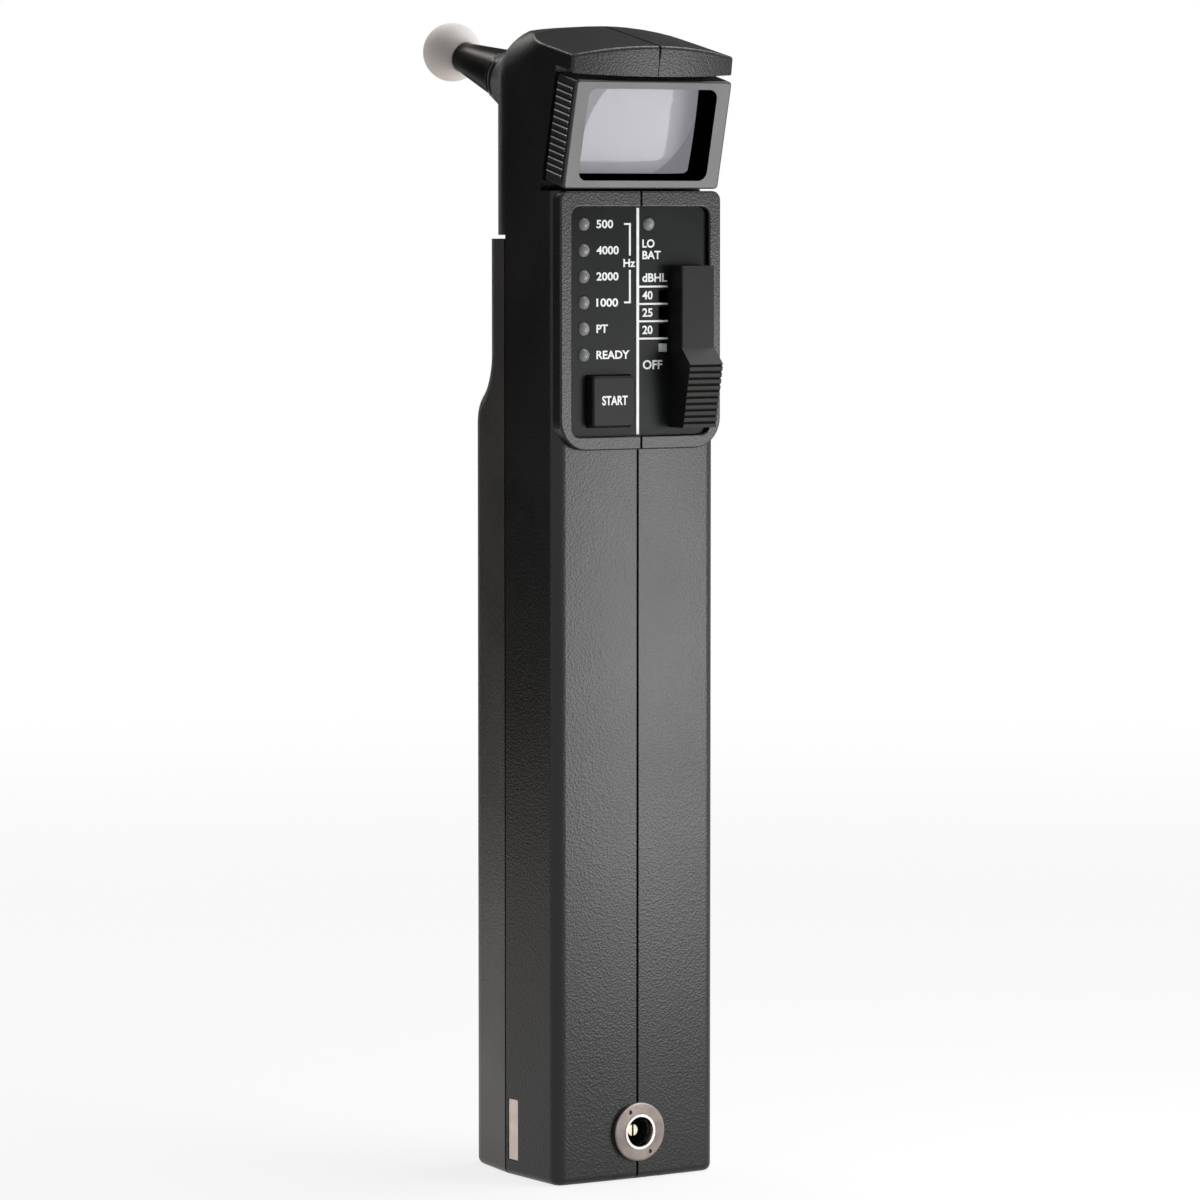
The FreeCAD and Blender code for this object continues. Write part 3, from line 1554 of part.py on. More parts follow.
def build_batteries():
    """Four cells in two columns, the tray behind them and the contacts at its ends."""
    spacing = D.cell_radius + D.cell_gap
    height = D.cell_long + D.cell_nub_long
    for number in range(CELLS):
        cell = Piece(f"battery_cell_{number + 1}")
        across = spacing * (1 if number % 2 else -1)
        start = D.cell_bottom + (height + D.cell_gap) * (number // 2)
        cell.rod((across, D.cell_place, start), "Z", D.cell_long, D.cell_radius)
        cell.round(D.collar_edge, circles)
        cell.rod((across, D.cell_place, start), "Z", height, D.cell_nub_radius)
    top = D.cell_bottom + (height * 2 + D.cell_gap)
    build_tray(top)
    build_battery_contacts("battery_contacts_low", D.cell_bottom - D.contact_plate, spacing)
    build_battery_contacts("battery_contacts_high", top, spacing)


def build_tray(top):
    """The tray: a floor behind the cells, and an end wall below them and above their top."""
    tray = Piece("battery_tray")
    floor_back = D.cell_place - D.cell_radius - D.cell_gap
    floor_front = floor_back - D.tray_floor
    low = D.cell_bottom - D.contact_plate - D.tray_end
    high = top + D.contact_plate + D.tray_end
    tray.box((-tray_half_width, floor_front, low), (tray_half_width, floor_back, high))
    end_back = D.cell_place + D.tray_reach
    for start in (low, high - D.tray_end):
        corner = (-D.tray_end_half_width, floor_front, start)
        tray.box(corner, (D.tray_end_half_width, end_back, start + D.tray_end))


def build_battery_contacts(label, start, spacing):
    """A pair of square plates from start upwards, one at the end of each column of cells."""
    plates = Piece(label)
    plates.body.AllowCompound = True
    reach = D.contact_plate_side / 2
    for way in (-1, 1):
        across = spacing * way
        low = (across - reach, D.cell_place - reach, start)
        plates.box(low, (across + reach, D.cell_place + reach, start + D.contact_plate))


def build_screws():
    """The screws, each kind one group: board to case, half to half, cover to case."""
    board = screw_group("board_screws")
    for side in (-1, 1):
        for level in (D.board_boss_low, board_boss_high):
            seat = (board_boss_x * side, board_back, level)
            add_screw(board, seat, "Y", -D.board_screw_long)
    case = screw_group("case_screws")
    for level in (D.case_screw_low, D.case_screw_mid, case_screw_high):
        seat = (half - D.case_screw_sunk, -D.case_screw_back, level)
        add_screw(case, seat, "X", -D.case_screw_long)
    cover = screw_group("cover_screws")
    for side in (-1, 1):
        seat = (D.cover_screw_x * side, D.handle_back - D.cover_screw_sunk, D.cover_screw_z)
        add_screw(cover, seat, "Y", -D.cover_screw_long)


def screw_group(label):
    group = Piece(label)
    group.body.AllowCompound = True
    return group


def add_screw(group, seat, axis, reach):
    """A round head that stands on seat, and a shank that runs back from it by reach."""
    group.rod(seat, axis, D.screw_head_tall, D.screw_head)
    tip = list(seat)
    place = "XYZ".index(axis)
    tip[place] = dim(seat[place]) + reach
    group.rod(tip, axis, D.screw_head_tall - reach, D.screw_shank)
    deep = list(seat)
    deep[place] = dim(seat[place]) + D.screw_head_tall / 2
    group.rod(deep, axis, D.screw_head_tall, D.screw_shank, cut=True)


def main():
    """Builds every piece, checks the document and writes the parts."""
    build_housing()
    build_rear_cover()
    build_label()
    build_lamps()
    build_button()
    build_start_switch()
    build_slider()
    build_pointer()
    build_level_switch()
    build_eyepiece()
    build_lens()
    build_retainer()
    build_chassis()
    build_bulb()
    build_receiver()
    build_mount()
    build_cone()
    build_ball()
    build_board()
    build_jack()
    build_contacts()
    build_batteries()
    build_screws()
    doc.recompute()
    check_document()
    write_parts()


def check_document():
    """Stops where a feature failed or a piece's shape is missing or not valid."""
    for item in doc.Objects:
        if "Invalid" in item.State or "Error" in item.State:
            raise RuntimeError(f"{item.Name}: {item.State}")
    for body in PIECES:
        if body.Shape.isNull() or not body.Shape.isValid():
            raise RuntimeError(f"{body.Label}: its shape is missing or not valid")


def write_parts():
    os.makedirs("parts", exist_ok=True)
    for body in PIECES:
        body.Shape.exportStep(os.path.join("parts", f"{body.Label}.step"))
        print(f"{body.Label:24s} {len(body.Shape.Solids)} solids {body.Shape.Volume:10.1f} mm3")


main()
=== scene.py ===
"""Dresses the hand-held audiometer: finishes, lettering, the soft ball, the lens and the studio."""

from __future__ import annotations

import logging
import math
from dataclasses import dataclass, field
from enum import Enum

import bpy
import numpy as np
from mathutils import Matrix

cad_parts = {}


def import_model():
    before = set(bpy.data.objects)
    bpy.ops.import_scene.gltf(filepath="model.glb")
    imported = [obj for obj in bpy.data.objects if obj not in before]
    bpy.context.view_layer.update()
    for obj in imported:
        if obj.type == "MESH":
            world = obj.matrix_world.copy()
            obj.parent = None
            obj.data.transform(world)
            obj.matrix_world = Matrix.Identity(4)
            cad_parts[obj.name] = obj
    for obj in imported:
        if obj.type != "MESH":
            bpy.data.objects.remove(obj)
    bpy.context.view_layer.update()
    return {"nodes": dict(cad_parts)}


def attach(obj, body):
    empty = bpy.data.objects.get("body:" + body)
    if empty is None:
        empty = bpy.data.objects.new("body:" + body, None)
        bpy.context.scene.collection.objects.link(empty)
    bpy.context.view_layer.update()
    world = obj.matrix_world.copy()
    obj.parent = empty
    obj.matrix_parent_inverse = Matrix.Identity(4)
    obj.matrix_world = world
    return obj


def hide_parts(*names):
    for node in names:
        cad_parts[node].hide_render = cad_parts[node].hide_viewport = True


LOG = logging.getLogger("audiometer")
MM = 0.001

Colour = tuple[float, float, float]
Point = tuple[float, float, float]
Socket = bpy.types.NodeSocket

# A colour Mix node's sockets, which share their names with those of its other kinds.
MIX_SHARE, MIX_LOW, MIX_HIGH, MIX_COLOUR = 0, 6, 7, 2
# The range that most of a noise lies in.
NOISE_SPAN = (0.3, 0.7)
# How much of the pale painted glint on the rib edges shows, at the least and at the most.
PAINTED_GLINT_SHARE = (0.6, 1.0)
# The range of the blotches' noise over which a finish goes from its base to its tint.
BLOTCH_SPAN = (0.35, 0.68)
BLACK_PLASTIC: Colour = (0.015, 0.015, 0.016)
# Painted shade for the walls inside the eyepiece's opening.
PAINTED_RECESS_SHADE: Colour = (0.0012, 0.0012, 0.0013)
# A card's tint, as shares of its grey.
CARD_TINT: Colour = (1.2, 1.15, 1.1)
# The optical axis starts in the middle of the eyepiece's mouth and rises to the back, by degrees.
AXIS_START: Point = (0.0, -20.4 * MM, 188.2 * MM)
AXIS_RISE = 13.6


# ---------------------------------------------------------------- finishes


class Grain(Enum):
    """How a surface is broken up when seen from close by."""

    SPARK = "spark-eroded mould texture"
    SATIN = "fine satin moulding"
    TURNED = "rings left by a lathe"
    DRAWN = "upright lines left by drawing"
    POLISHED = "polished"
    SKIN = "soft skin with small pores"


@dataclass(frozen=True)
class Layer:
    """A second, wider layer of bumps.

    Attributes:
        width: The bumps' width, in grains.
        depth: Their depth, in the grain's depths.
        strength: How much of them shows.
    """

    width: float
    depth: float
    strength: float


# How much of each grain's own bumps shows.
GRAIN_STRENGTH = {
    Grain.SPARK: 0.8, Grain.SATIN: 0.5, Grain.TURNED: 0.6,
    Grain.DRAWN: 0.7, Grain.POLISHED: 0.15, Grain.SKIN: 0.7,
}
# The waves under the spark-eroded texture, and the creases over the skin's pores.
COARSE_WAVES = Layer(1.5, 0.6, 0.15)
SKIN_CREASES = Layer(8.0, 2.0, 0.4)
# Drawn lines are noise that is stretched upright.
DRAWN_STRETCH: Point = (1.0, 1.0, 0.04)


@dataclass(frozen=True)
class ShadedRecess:
    """The walls inside the eyepiece's opening, painted near-black with their gloss taken away:
    painted shade where the recess lies in shadow.

    Attributes:
        half_width: Half the width of the shaded box, in metres.
        half_height: Half its height, in metres.
        start: How deep behind the mouth it starts, in metres.
    """

    half_width: float = 14.4 * MM
    half_height: float = 8.9 * MM
    start: float = 0.12 * MM


@dataclass(frozen=True)
class Ribs:
    """The finger ribs on the eyepiece's cheeks, whose upper edges carry a pale painted glint.

    Attributes:
        start: The first rib's low edge above the axis, in metres.
        pitch: The spacing, in metres.
        high: One rib's height, in metres.
        edge: The width of the painted glint along each upper edge, in metres.
        face: The distance from the middle plane past which the ribs stand, in metres.
        over: How far the painted glint runs past the rib's top, as a share of the pitch.
        painted_glint: The colour of the painted glint.
    """

    start: float = -8.24 * MM
    pitch: float = 1.22 * MM
    high: float = 0.62 * MM
    edge: float = 0.15 * MM
    face: float = 16.72 * MM
    over: float = 0.02
    painted_glint: Colour = (0.84, 0.85, 0.85)


@dataclass(frozen=True)
class PaintedBrightField:
    """A bright round field painted on the magnifier, standing in for the lit opening seen through
    it, with painted shade in two of its corners.

    The field is what two discs across the optical axis have in common.

    Attributes:
        discs: Each disc's middle, sideways and up, and its radius, in metres.
        painted_shade: The colour outside the field, a painted shade.
        soft: The width of the field's edge, in metres.
    """

    discs: tuple[Point, ...] = (
        (6.3 * MM, -3.5 * MM, 16.5 * MM),
        (-3.0 * MM, 6.9 * MM, 18.0 * MM),
    )
    painted_shade: Colour = (0.030, 0.031, 0.031)
    soft: float = 0.35 * MM


class Graph:
    """A material's node tree, with short calls that add and join nodes."""

    def __init__(self, name: str) -> None:
        """Starts an empty tree that ends in a Principled shader.

        Args:
            name: The material's name.
        """
        self.material = bpy.data.materials.new(name)
        self.material.use_nodes = True
        self.nodes = self.material.node_tree.nodes
        self.links = self.material.node_tree.links
        self.nodes.clear()
        self.output = self.nodes.new("ShaderNodeOutputMaterial")
        self.shader = self.nodes.new("ShaderNodeBsdfPrincipled")
        self.join(self.shader.outputs["BSDF"], self.output.inputs["Surface"])
        self.place = self.nodes.new("ShaderNodeTexCoord").outputs["Object"]

    def join(self, source: Socket, target: Socket) -> None:
        """Links one output to one input."""
        self.links.new(source, target)

    def moved(self, centre: Point, scale: Point = (1.0, 1.0, 1.0)) -> Socket:
        """Returns object coordinates counted from a centre and stretched.

        Args:
            centre: The new origin, in metres.
            scale: The stretch along X, Y and Z.

        Returns:
            The vector socket.
        """
        mapping = self.nodes.new("ShaderNodeMapping")
        mapping.inputs["Location"].default_value = [-c * s for c, s in zip(centre, scale)]
        mapping.inputs["Scale"].default_value = scale
        self.join(self.place, mapping.inputs["Vector"])
        return mapping.outputs["Vector"]

    def noise(self, size: float, detail: float = 2.0, vector: Socket | None = None) -> Socket:
        """Returns a noise whose features are about size metres wide.

        Args:
            size: The width of one feature, in metres.
            detail: How much finer noise lies over it.
            vector: The coordinates, if not the object's own.

        Returns:
            The noise, from 0 to 1.
        """
        texture = self.nodes.new("ShaderNodeTexNoise")
        texture.inputs["Scale"].default_value = 1.0 / size
        texture.inputs["Detail"].default_value = detail
        self.join(vector or self.place, texture.inputs["Vector"])
        return texture.outputs["Fac"]

    def pits(self, size: float) -> Socket:
        """Covers the surface with rounded pits.

        Args:
            size: The width of one pit, in metres.

        Returns:
            The distance from the nearest pit's middle.
        """
        texture = self.nodes.new("ShaderNodeTexVoronoi")
        texture.inputs["Scale"].default_value = 1.0 / size
        self.join(self.place, texture.inputs["Vector"])
        return texture.outputs["Distance"]

    def rings(self, spacing: float, centre: Point) -> Socket:
        """Lays rings round an axis along Y.

        The wave texture repeats every 2 pi / (20 scale) metres.

        Args:
            spacing: The rings' spacing, in metres.
            centre: A point on the axis, in metres.

        Returns:
            The rings, from 0 to 1.
        """
        texture = self.nodes.new("ShaderNodeTexWave")
        texture.wave_type = "RINGS"
        texture.rings_direction = "Y"
        texture.inputs["Scale"].default_value = 2.0 * math.pi / (20.0 * spacing)
        texture.inputs["Distortion"].default_value = 1.2
        texture.inputs["Detail"].default_value = 2.0
        self.join(self.moved(centre), texture.inputs["Vector"])
        return texture.outputs["Fac"]

    def mixed(
        self, factor: Socket, low: Colour, high: Colour, span: tuple[float, float]
    ) -> Socket:
        """Returns a colour that goes from low to high as factor crosses span.

        Args:
            factor: What drives the colour.
            low: The colour below the span.
            high: The colour above it.
            span: The factor's values at which the change starts and ends.

        Returns:
            The colour socket.
        """
        ramp = self.nodes.new("ShaderNodeValToRGB")
        ramp.color_ramp.elements[0].position = span[0]
        ramp.color_ramp.elements[0].color = (*low, 1.0)
        ramp.color_ramp.elements[1].position = span[1]
        ramp.color_ramp.elements[1].color = (*high, 1.0)
        self.join(factor, ramp.inputs["Fac"])
        return ramp.outputs["Color"]

    def ahead(self, end: float, spread: float = 0.2 * MM) -> Socket:
        """Tells what lies ahead of a plane across Y from what lies behind it.

        Args:
            end: The plane's Y, in metres.
            spread: How far behind it the change takes, in metres.

        Returns:
            A socket that is 1 ahead of the plane and 0 behind it.
        """
        parts = self.nodes.new("ShaderNodeSeparateXYZ")
        self.join(self.place, parts.inputs[0])
        return self.mapped(parts.outputs["Y"], (end, end + spread), (1.0, 0.0))

    def math(self, operation: str, first: float | Socket, second: float | Socket = 0.0) -> Socket:
        """Returns one arithmetic step.

        Args:
            operation: The step's name, such as ADD or SUBTRACT.
            first: A number or a socket.
            second: A number or a socket.

        Returns:
            The result's socket.
        """
        node = self.nodes.new("ShaderNodeMath")
        node.operation = operation
        for slot, value in zip(node.inputs, (first, second)):
            if isinstance(value, Socket):
                self.join(value, slot)
            else:
                slot.default_value = value
        return node.outputs[0]

    def on_axis(self) -> tuple[Socket, Socket, Socket]:
        """Turns object coordinates into places across, along and above the optical axis.

        Returns:
            The three sockets, in metres.
        """
        turned = self.nodes.new("ShaderNodeVectorRotate")
        turned.rotation_type = "X_AXIS"
        turned.inputs["Center"].default_value = AXIS_START
        turned.inputs["Angle"].default_value = -math.radians(AXIS_RISE)
        self.join(self.place, turned.inputs["Vector"])
        parts = self.nodes.new("ShaderNodeSeparateXYZ")
        self.join(turned.outputs[0], parts.inputs[0])
        depth = self.math("SUBTRACT", parts.outputs["Y"], AXIS_START[1])
        height = self.math("SUBTRACT", parts.outputs["Z"], AXIS_START[2])
        return parts.outputs["X"], depth, height

    def outside(self, shaded_recess: ShadedRecess) -> Socket:
        """Tells the walls inside the painted-shade box from the rest of the surface.

        Args:
            shaded_recess: The box.

        Returns:
            A socket that is 0 inside the box and 1 everywhere else.
        """
        across, depth, height = self.on_axis()
        inside = self.math("LESS_THAN", self.math("ABSOLUTE", across), shaded_recess.half_width)
        level = self.math("LESS_THAN", self.math("ABSOLUTE", height), shaded_recess.half_height)
        inside = self.math("MULTIPLY", inside, level)
        inside = self.math("MULTIPLY", inside, self.math("GREATER_THAN", depth, shaded_recess.start))
        return self.math("SUBTRACT", 1.0, inside)

    def within(self, painted_view: PaintedBrightField) -> Socket:
        """Tells the painted bright field from its corners of painted shade.

        The share is the least, over the discs, of (radius - distance from the disc's
        middle) / soft, and never under 0.

        Args:
            painted_view: The painted field.

        Returns:
            A socket that is 1 or more inside the field and 0 outside it.
        """
        across, _, height = self.on_axis()
        inside: float | Socket = 1.0
        for side, up, radius in painted_view.discs:
            aside = self.math("SUBTRACT", across, side)
            above = self.math("SUBTRACT", height, up)
            across_square = self.math("MULTIPLY", aside, aside)
            up_square = self.math("MULTIPLY", above, above)
            distance = self.math("SQRT", self.math("ADD", across_square, up_square))
            reach = self.math("SUBTRACT", radius, distance)
            share = self.math("DIVIDE", reach, painted_view.soft)
            inside = self.math("MINIMUM", inside, share)
        return self.math("MAXIMUM", inside, 0.0)

    def crests(self, ribs: Ribs) -> Socket:
        """Finds the upper edges of the finger ribs, by the fraction of a pitch at each height.

        Args:
            ribs: The ribs' sizes.

        Returns:
            A socket that is 1 along the upper edges and 0 elsewhere.
        """
        across, _, height = self.on_axis()
        steps = self.math("DIVIDE", self.math("SUBTRACT", height, ribs.start), ribs.pitch)
        phase = self.math("FRACT", steps)
        upper = self.math("LESS_THAN", phase, ribs.high / ribs.pitch + ribs.over)
        lower = self.math("GREATER_THAN", phase, (ribs.high - ribs.edge) / ribs.pitch)
        proud = self.math("GREATER_THAN", self.math("ABSOLUTE", across), ribs.face)
        return self.math("MULTIPLY", self.math("MULTIPLY", upper, lower), proud)

    def between(self, share: Socket, low: Colour | Socket, high: Colour | Socket) -> Socket:
        """Returns a colour that is low where share is 0 and high where it is 1.

        Args:
            share: The share of high.
            low: A plain colour or a socket.
            high: A plain colour or a socket.

        Returns:
            The colour socket.
        """
        mix = self.nodes.new("ShaderNodeMix")
        mix.data_type = "RGBA"
        self.join(share, mix.inputs[MIX_SHARE])
        for slot, value in ((MIX_LOW, low), (MIX_HIGH, high)):
            if isinstance(value, Socket):
                self.join(value, mix.inputs[slot])
            else:
                mix.inputs[slot].default_value = (*value, 1.0)
        return mix.outputs[MIX_COLOUR]

    def mapped(
        self,
        value: Socket,
        given: tuple[float, float],
        wanted: tuple[float, float],
        rise: str = "LINEAR",
    ) -> Socket:
        """Carries a value from one range to another and holds it at the ends.

        Args:
            value: What is carried over.
            given: The range's two ends.
            wanted: What the two ends become.
            rise: LINEAR, or SMOOTHSTEP for soft ends.

        Returns:
            The result's socket.
        """
        span = self.nodes.new("ShaderNodeMapRange")
        span.interpolation_type = rise
        names = ("From Min", "From Max", "To Min", "To Max")
        for name, number in zip(names, (*given, *wanted)):
            span.inputs[name].default_value = number
        self.join(value, span.inputs["Value"])
        return span.outputs["Result"]

    def bumped(
        self, height: Socket, depth: float, strength: float, under: Socket | None = None
    ) -> Socket:
        """Returns a normal raised by height times depth metres.

        Args:
            height: The relief, from 0 to 1.
            depth: Its full height, in metres.
            strength: How much of it shows.
            under: A bump that lies beneath it, if any.

        Returns:
            The normal's socket.
        """
        bump = self.nodes.new("ShaderNodeBump")
        bump.inputs["Distance"].default_value = depth
        bump.inputs["Strength"].default_value = strength
        self.join(height, bump.inputs["Height"])
        if under is not None:
            self.join(under, bump.inputs["Normal"])
        return bump.outputs["Normal"]


@dataclass(frozen=True)
class Finish:
    """A surface's colour, gloss and grain.

    Attributes:
        name: The material's name.
        base: The main colour.
        tint: The colour that wide, faint blotches lean to.
        roughness: The lowest and highest roughness, spread by blotches.
        grain: The kind of small relief.
        grain_size: The width of one grain, in metres.
        grain_depth: The height of the grain's relief, in metres.
        blotch: The width of the blotches, in metres.
        settings: Shader sockets that hold one value all over.
        centre: The axis of a turned finish.
        black_behind: The Y behind which a metal surface turns to black plastic, or None.
        shaded_recess: The box within which the surface is painted near-black without gloss, as
            painted shade, or None.
        painted_view: The bright field painted on a lens, with painted shade in its corners, or
            None.
    """

    name: str
    base: Colour
    tint: Colour
    roughness: tuple[float, float]
    grain: Grain = Grain.SATIN
    grain_size: float = 0.2 * MM
    grain_depth: float = 0.015 * MM
    blotch: float = 14.0 * MM
    settings: dict[str, float | Point] = field(default_factory=dict)
    centre: Point = (0.0, 0.0, 0.0)
    black_behind: float | None = None
    shaded_recess: ShadedRecess | None = None
    painted_view: PaintedBrightField | None = None

    def material(self) -> bpy.types.Material:
        """Builds the finish as a node material, once per name.

        Returns:
            The material.
        """
        made = bpy.data.materials.get(self.name)
        if made is not None:
            return made
        graph = Graph(self.name)
        for socket, value in self.settings.items():
            graph.shader.inputs[socket].default_value = value
        blotches = graph.noise(self.blotch, 4.0)
        colour = graph.mixed(blotches, self.base, self.tint, BLOTCH_SPAN)
        if self.black_behind is not None:
            ahead = graph.ahead(self.black_behind)
            colour = graph.between(ahead, BLACK_PLASTIC, colour)
            graph.join(ahead, graph.shader.inputs["Metallic"])
        # A lens carries a painted bright field, with painted shade in its corners.
        if self.painted_view is not None:
            colour = graph.between(graph.within(self.painted_view), self.painted_view.painted_shade, colour)
        if self.shaded_recess is not None:
            # Pale lines along the ribs' upper edges: a painted glint, standing in for the highlight
            # those edges catch.
            ribs = Ribs()
            crests = graph.crests(ribs)
            glint_share = graph.mapped(blotches, NOISE_SPAN, PAINTED_GLINT_SHARE)
            painted_glint = graph.math("MULTIPLY", crests, glint_share)
            colour = graph.between(painted_glint, colour, ribs.painted_glint)
            # Inside the opening, colour and gloss are taken down: painted shade on the recess
            # walls.
            open_share = graph.outside(self.shaded_recess)
            colour = graph.between(open_share, PAINTED_RECESS_SHADE, colour)
            gloss = self.settings["Specular IOR Level"]
            specular = graph.math("MULTIPLY", open_share, gloss)
            graph.join(specular, graph.shader.inputs["Specular IOR Level"])
        graph.join(colour, graph.shader.inputs["Base Color"])
        roughness = graph.mapped(blotches, NOISE_SPAN, self.roughness)
        graph.join(roughness, graph.shader.inputs["Roughness"])
        graph.join(self.relief(graph), graph.shader.inputs["Normal"])
        return graph.material

    def relief(self, graph: Graph) -> Socket:
        """Builds the finish's grain, in one or two layers of bumps.

        Args:
            graph: The tree that the bumps are added to.

        Returns:
            The normal's socket.
        """
        size, depth, strength = self.grain_size, self.grain_depth, GRAIN_STRENGTH[self.grain]
        if self.grain is Grain.SPARK:
            waves = graph.noise(size * COARSE_WAVES.width, 1.0)
            under = graph.bumped(waves, depth * COARSE_WAVES.depth, COARSE_WAVES.strength)
            return graph.bumped(graph.pits(size), depth, strength, under)
        if self.grain is Grain.TURNED:
            return graph.bumped(graph.rings(size, self.centre), depth, strength)
        if self.grain is Grain.DRAWN:
            lines = graph.moved(self.centre, DRAWN_STRETCH)
            return graph.bumped(graph.noise(size, 3.0, lines), depth, strength)
        if self.grain is Grain.SKIN:
            pores = graph.bumped(graph.pits(size), depth, strength)
            creases = graph.noise(size * SKIN_CREASES.width)
            over = depth * SKIN_CREASES.depth
            return graph.bumped(creases, over, SKIN_CREASES.strength, pores)
        return graph.bumped(graph.noise(size), depth, strength)


def lamp_finish(name: str, base: Colour, tint: Colour) -> Finish:
    """Returns the satin, slightly see-through finish of an unlit panel lamp.

    Args:
        name: The material's name.
        base: The main colour.
        tint: The colour of its blotches.

    Returns:
        The finish.
    """
    return Finish(
        name, base, tint, (0.28, 0.40), Grain.SATIN, grain_size=0.3 * MM,
        grain_depth=0.006 * MM, blotch=1.2 * MM, settings={"Transmission Weight": 0.15},
    )


JACK_AXIS: Point = (0.0, 0.0, 8.75 * MM)

CASE = Finish(
    "case_black", (0.0042, 0.0045, 0.0045), (0.0066, 0.0070, 0.0069), (0.32, 0.38), Grain.SPARK,
    grain_size=0.42 * MM, grain_depth=0.045 * MM, blotch=22 * MM,
    settings={"Specular IOR Level": 0.34},
)
COVER = Finish(
    "cover_black", (0.018, 0.016, 0.0145), (0.025, 0.022, 0.020), (0.36, 0.44), Grain.SPARK,
    grain_size=0.42 * MM, grain_depth=0.036 * MM, blotch=18 * MM,
    settings={"Specular IOR Level": 0.46},
)
LABEL = Finish(
    "label_black", (0.0085, 0.0095, 0.0095), (0.0125, 0.0135, 0.0135), (0.26, 0.32), Grain.SATIN,
    grain_size=0.11 * MM, grain_depth=0.006 * MM, settings={"Specular IOR Level": 0.06},
)
CONTROL = Finish(
    "control_black", (0.011, 0.011, 0.0105), (0.016, 0.0155, 0.015), (0.34, 0.42), Grain.SPARK,
    grain_size=0.24 * MM, grain_depth=0.018 * MM, blotch=7 * MM,
    settings={"Specular IOR Level": 0.09},
)
# The eyepiece carries a painted glint on its rib edges and painted shade inside its opening.
EYEPIECE = Finish(
    "eyepiece_black", (0.026, 0.0265, 0.0265), (0.034, 0.0345, 0.0345), (0.30, 0.36), Grain.SPARK,
    grain_size=0.20 * MM, grain_depth=0.014 * MM, blotch=9 * MM,
    settings={"Specular IOR Level": 0.38},
    shaded_recess=ShadedRecess(),
)
COLLAR = Finish(
    "collar_gloss_black", (0.012, 0.012, 0.013), (0.018, 0.018, 0.019), (0.10, 0.18),
    Grain.POLISHED, grain_size=0.5 * MM, grain_depth=0.004 * MM,
    settings={"Specular IOR Level": 0.55},
)
CONE = Finish(
    "cone_black", (0.003, 0.003, 0.0032), (0.005, 0.005, 0.0052), (0.28, 0.36), Grain.SATIN,
    grain_size=0.3 * MM, grain_depth=0.006 * MM, settings={"Specular IOR Level": 0.08},
)
BALL = Finish(
    "ball_soft_grey", (0.72, 0.665, 0.63), (0.80, 0.745, 0.71), (0.62, 0.74), Grain.SKIN,
    grain_size=0.22 * MM, grain_depth=0.010 * MM, blotch=5 * MM,
    settings={"Subsurface Weight": 0.15, "Subsurface Scale": 0.002, "Specular IOR Level": 0.3},
)
# The lens carries a painted bright field, with painted shade in two corners.
LENS = Finish(
    "lens_coated", (0.275, 0.270, 0.290), (0.300, 0.295, 0.315), (0.03, 0.05), Grain.POLISHED,
    grain_size=2.0 * MM, grain_depth=0.0005 * MM, painted_view=PaintedBrightField(),
    settings={
        "Specular IOR Level": 0.15, "Subsurface Weight": 0.9, "Subsurface Scale": 0.014,
        "Subsurface Radius": (1.0, 1.0, 1.0),
        # The emission is a painted glow, standing in for light seen through the lens, which is no
        # lamp.
        "Emission Color": (0.92, 0.90, 1.0, 1.0), "Emission Strength": 0.21,
    },
)
BULB = Finish(
    "bulb_glass", (0.80, 0.80, 0.76), (0.86, 0.86, 0.82), (0.05, 0.09), Grain.POLISHED,
    settings={"Transmission Weight": 0.7},
)
LAMP_TEST = lamp_finish("lamp_test_grey", (0.185, 0.175, 0.180), (0.235, 0.224, 0.229))
LAMP_READY = lamp_finish("lamp_ready_grey", (0.155, 0.176, 0.178), (0.205, 0.227, 0.230))
LAMP_GREY = lamp_finish("lamp_grey", (0.195, 0.197, 0.200), (0.250, 0.252, 0.255))
POINTER = Finish(
    "pointer_pale_green", (0.80, 0.90, 0.90), (0.88, 0.95, 0.95), (0.38, 0.48), Grain.SATIN,
    blotch=1.5 * MM,
)
INK = Finish(
    "ink_white", (0.74, 0.75, 0.74), (0.82, 0.83, 0.82), (0.48, 0.58), Grain.SATIN,
    grain_size=0.12 * MM, grain_depth=0.003 * MM, blotch=2 * MM,
)
JACK_METAL = Finish(
    "jack_plated_metal", (0.170, 0.142, 0.130), (0.209, 0.177, 0.164), (0.28, 0.36), Grain.TURNED,
    grain_size=0.22 * MM, grain_depth=0.010 * MM, blotch=3 * MM, settings={"Metallic": 0.9},
    centre=JACK_AXIS,
)
JACK_BODY = Finish(
    "jack_tube_metal", (0.72, 0.69, 0.66), (0.80, 0.77, 0.74), (0.20, 0.30), Grain.TURNED,
    grain_size=0.3 * MM, grain_depth=0.006 * MM, blotch=2 * MM,
    settings={"Specular IOR Level": 0.5},
    centre=JACK_AXIS, black_behind=-16.4 * MM,
)
PIN_METAL = Finish(
    "pin_pale_brass", (0.75, 0.66, 0.50), (0.82, 0.74, 0.60), (0.20, 0.30), Grain.DRAWN,
    blotch=1.5 * MM, settings={"Metallic": 1.0},
)
CONTACT_METAL = Finish(
    "contact_worn_metal", (0.60, 0.50, 0.45), (0.74, 0.64, 0.58), (0.34, 0.52), Grain.DRAWN,
    grain_size=0.25 * MM, grain_depth=0.012 * MM, blotch=2.5 * MM, settings={"Metallic": 0.85},
)
STEEL = Finish(
    "screw_steel", (0.50, 0.50, 0.51), (0.60, 0.60, 0.60), (0.28, 0.42), Grain.SATIN,
    blotch=2 * MM, settings={"Metallic": 1.0},
)
INNER = Finish(
    "inner_black", (0.020, 0.020, 0.021), (0.030, 0.030, 0.031), (0.5, 0.6), Grain.SATIN,
    blotch=8 * MM,
)
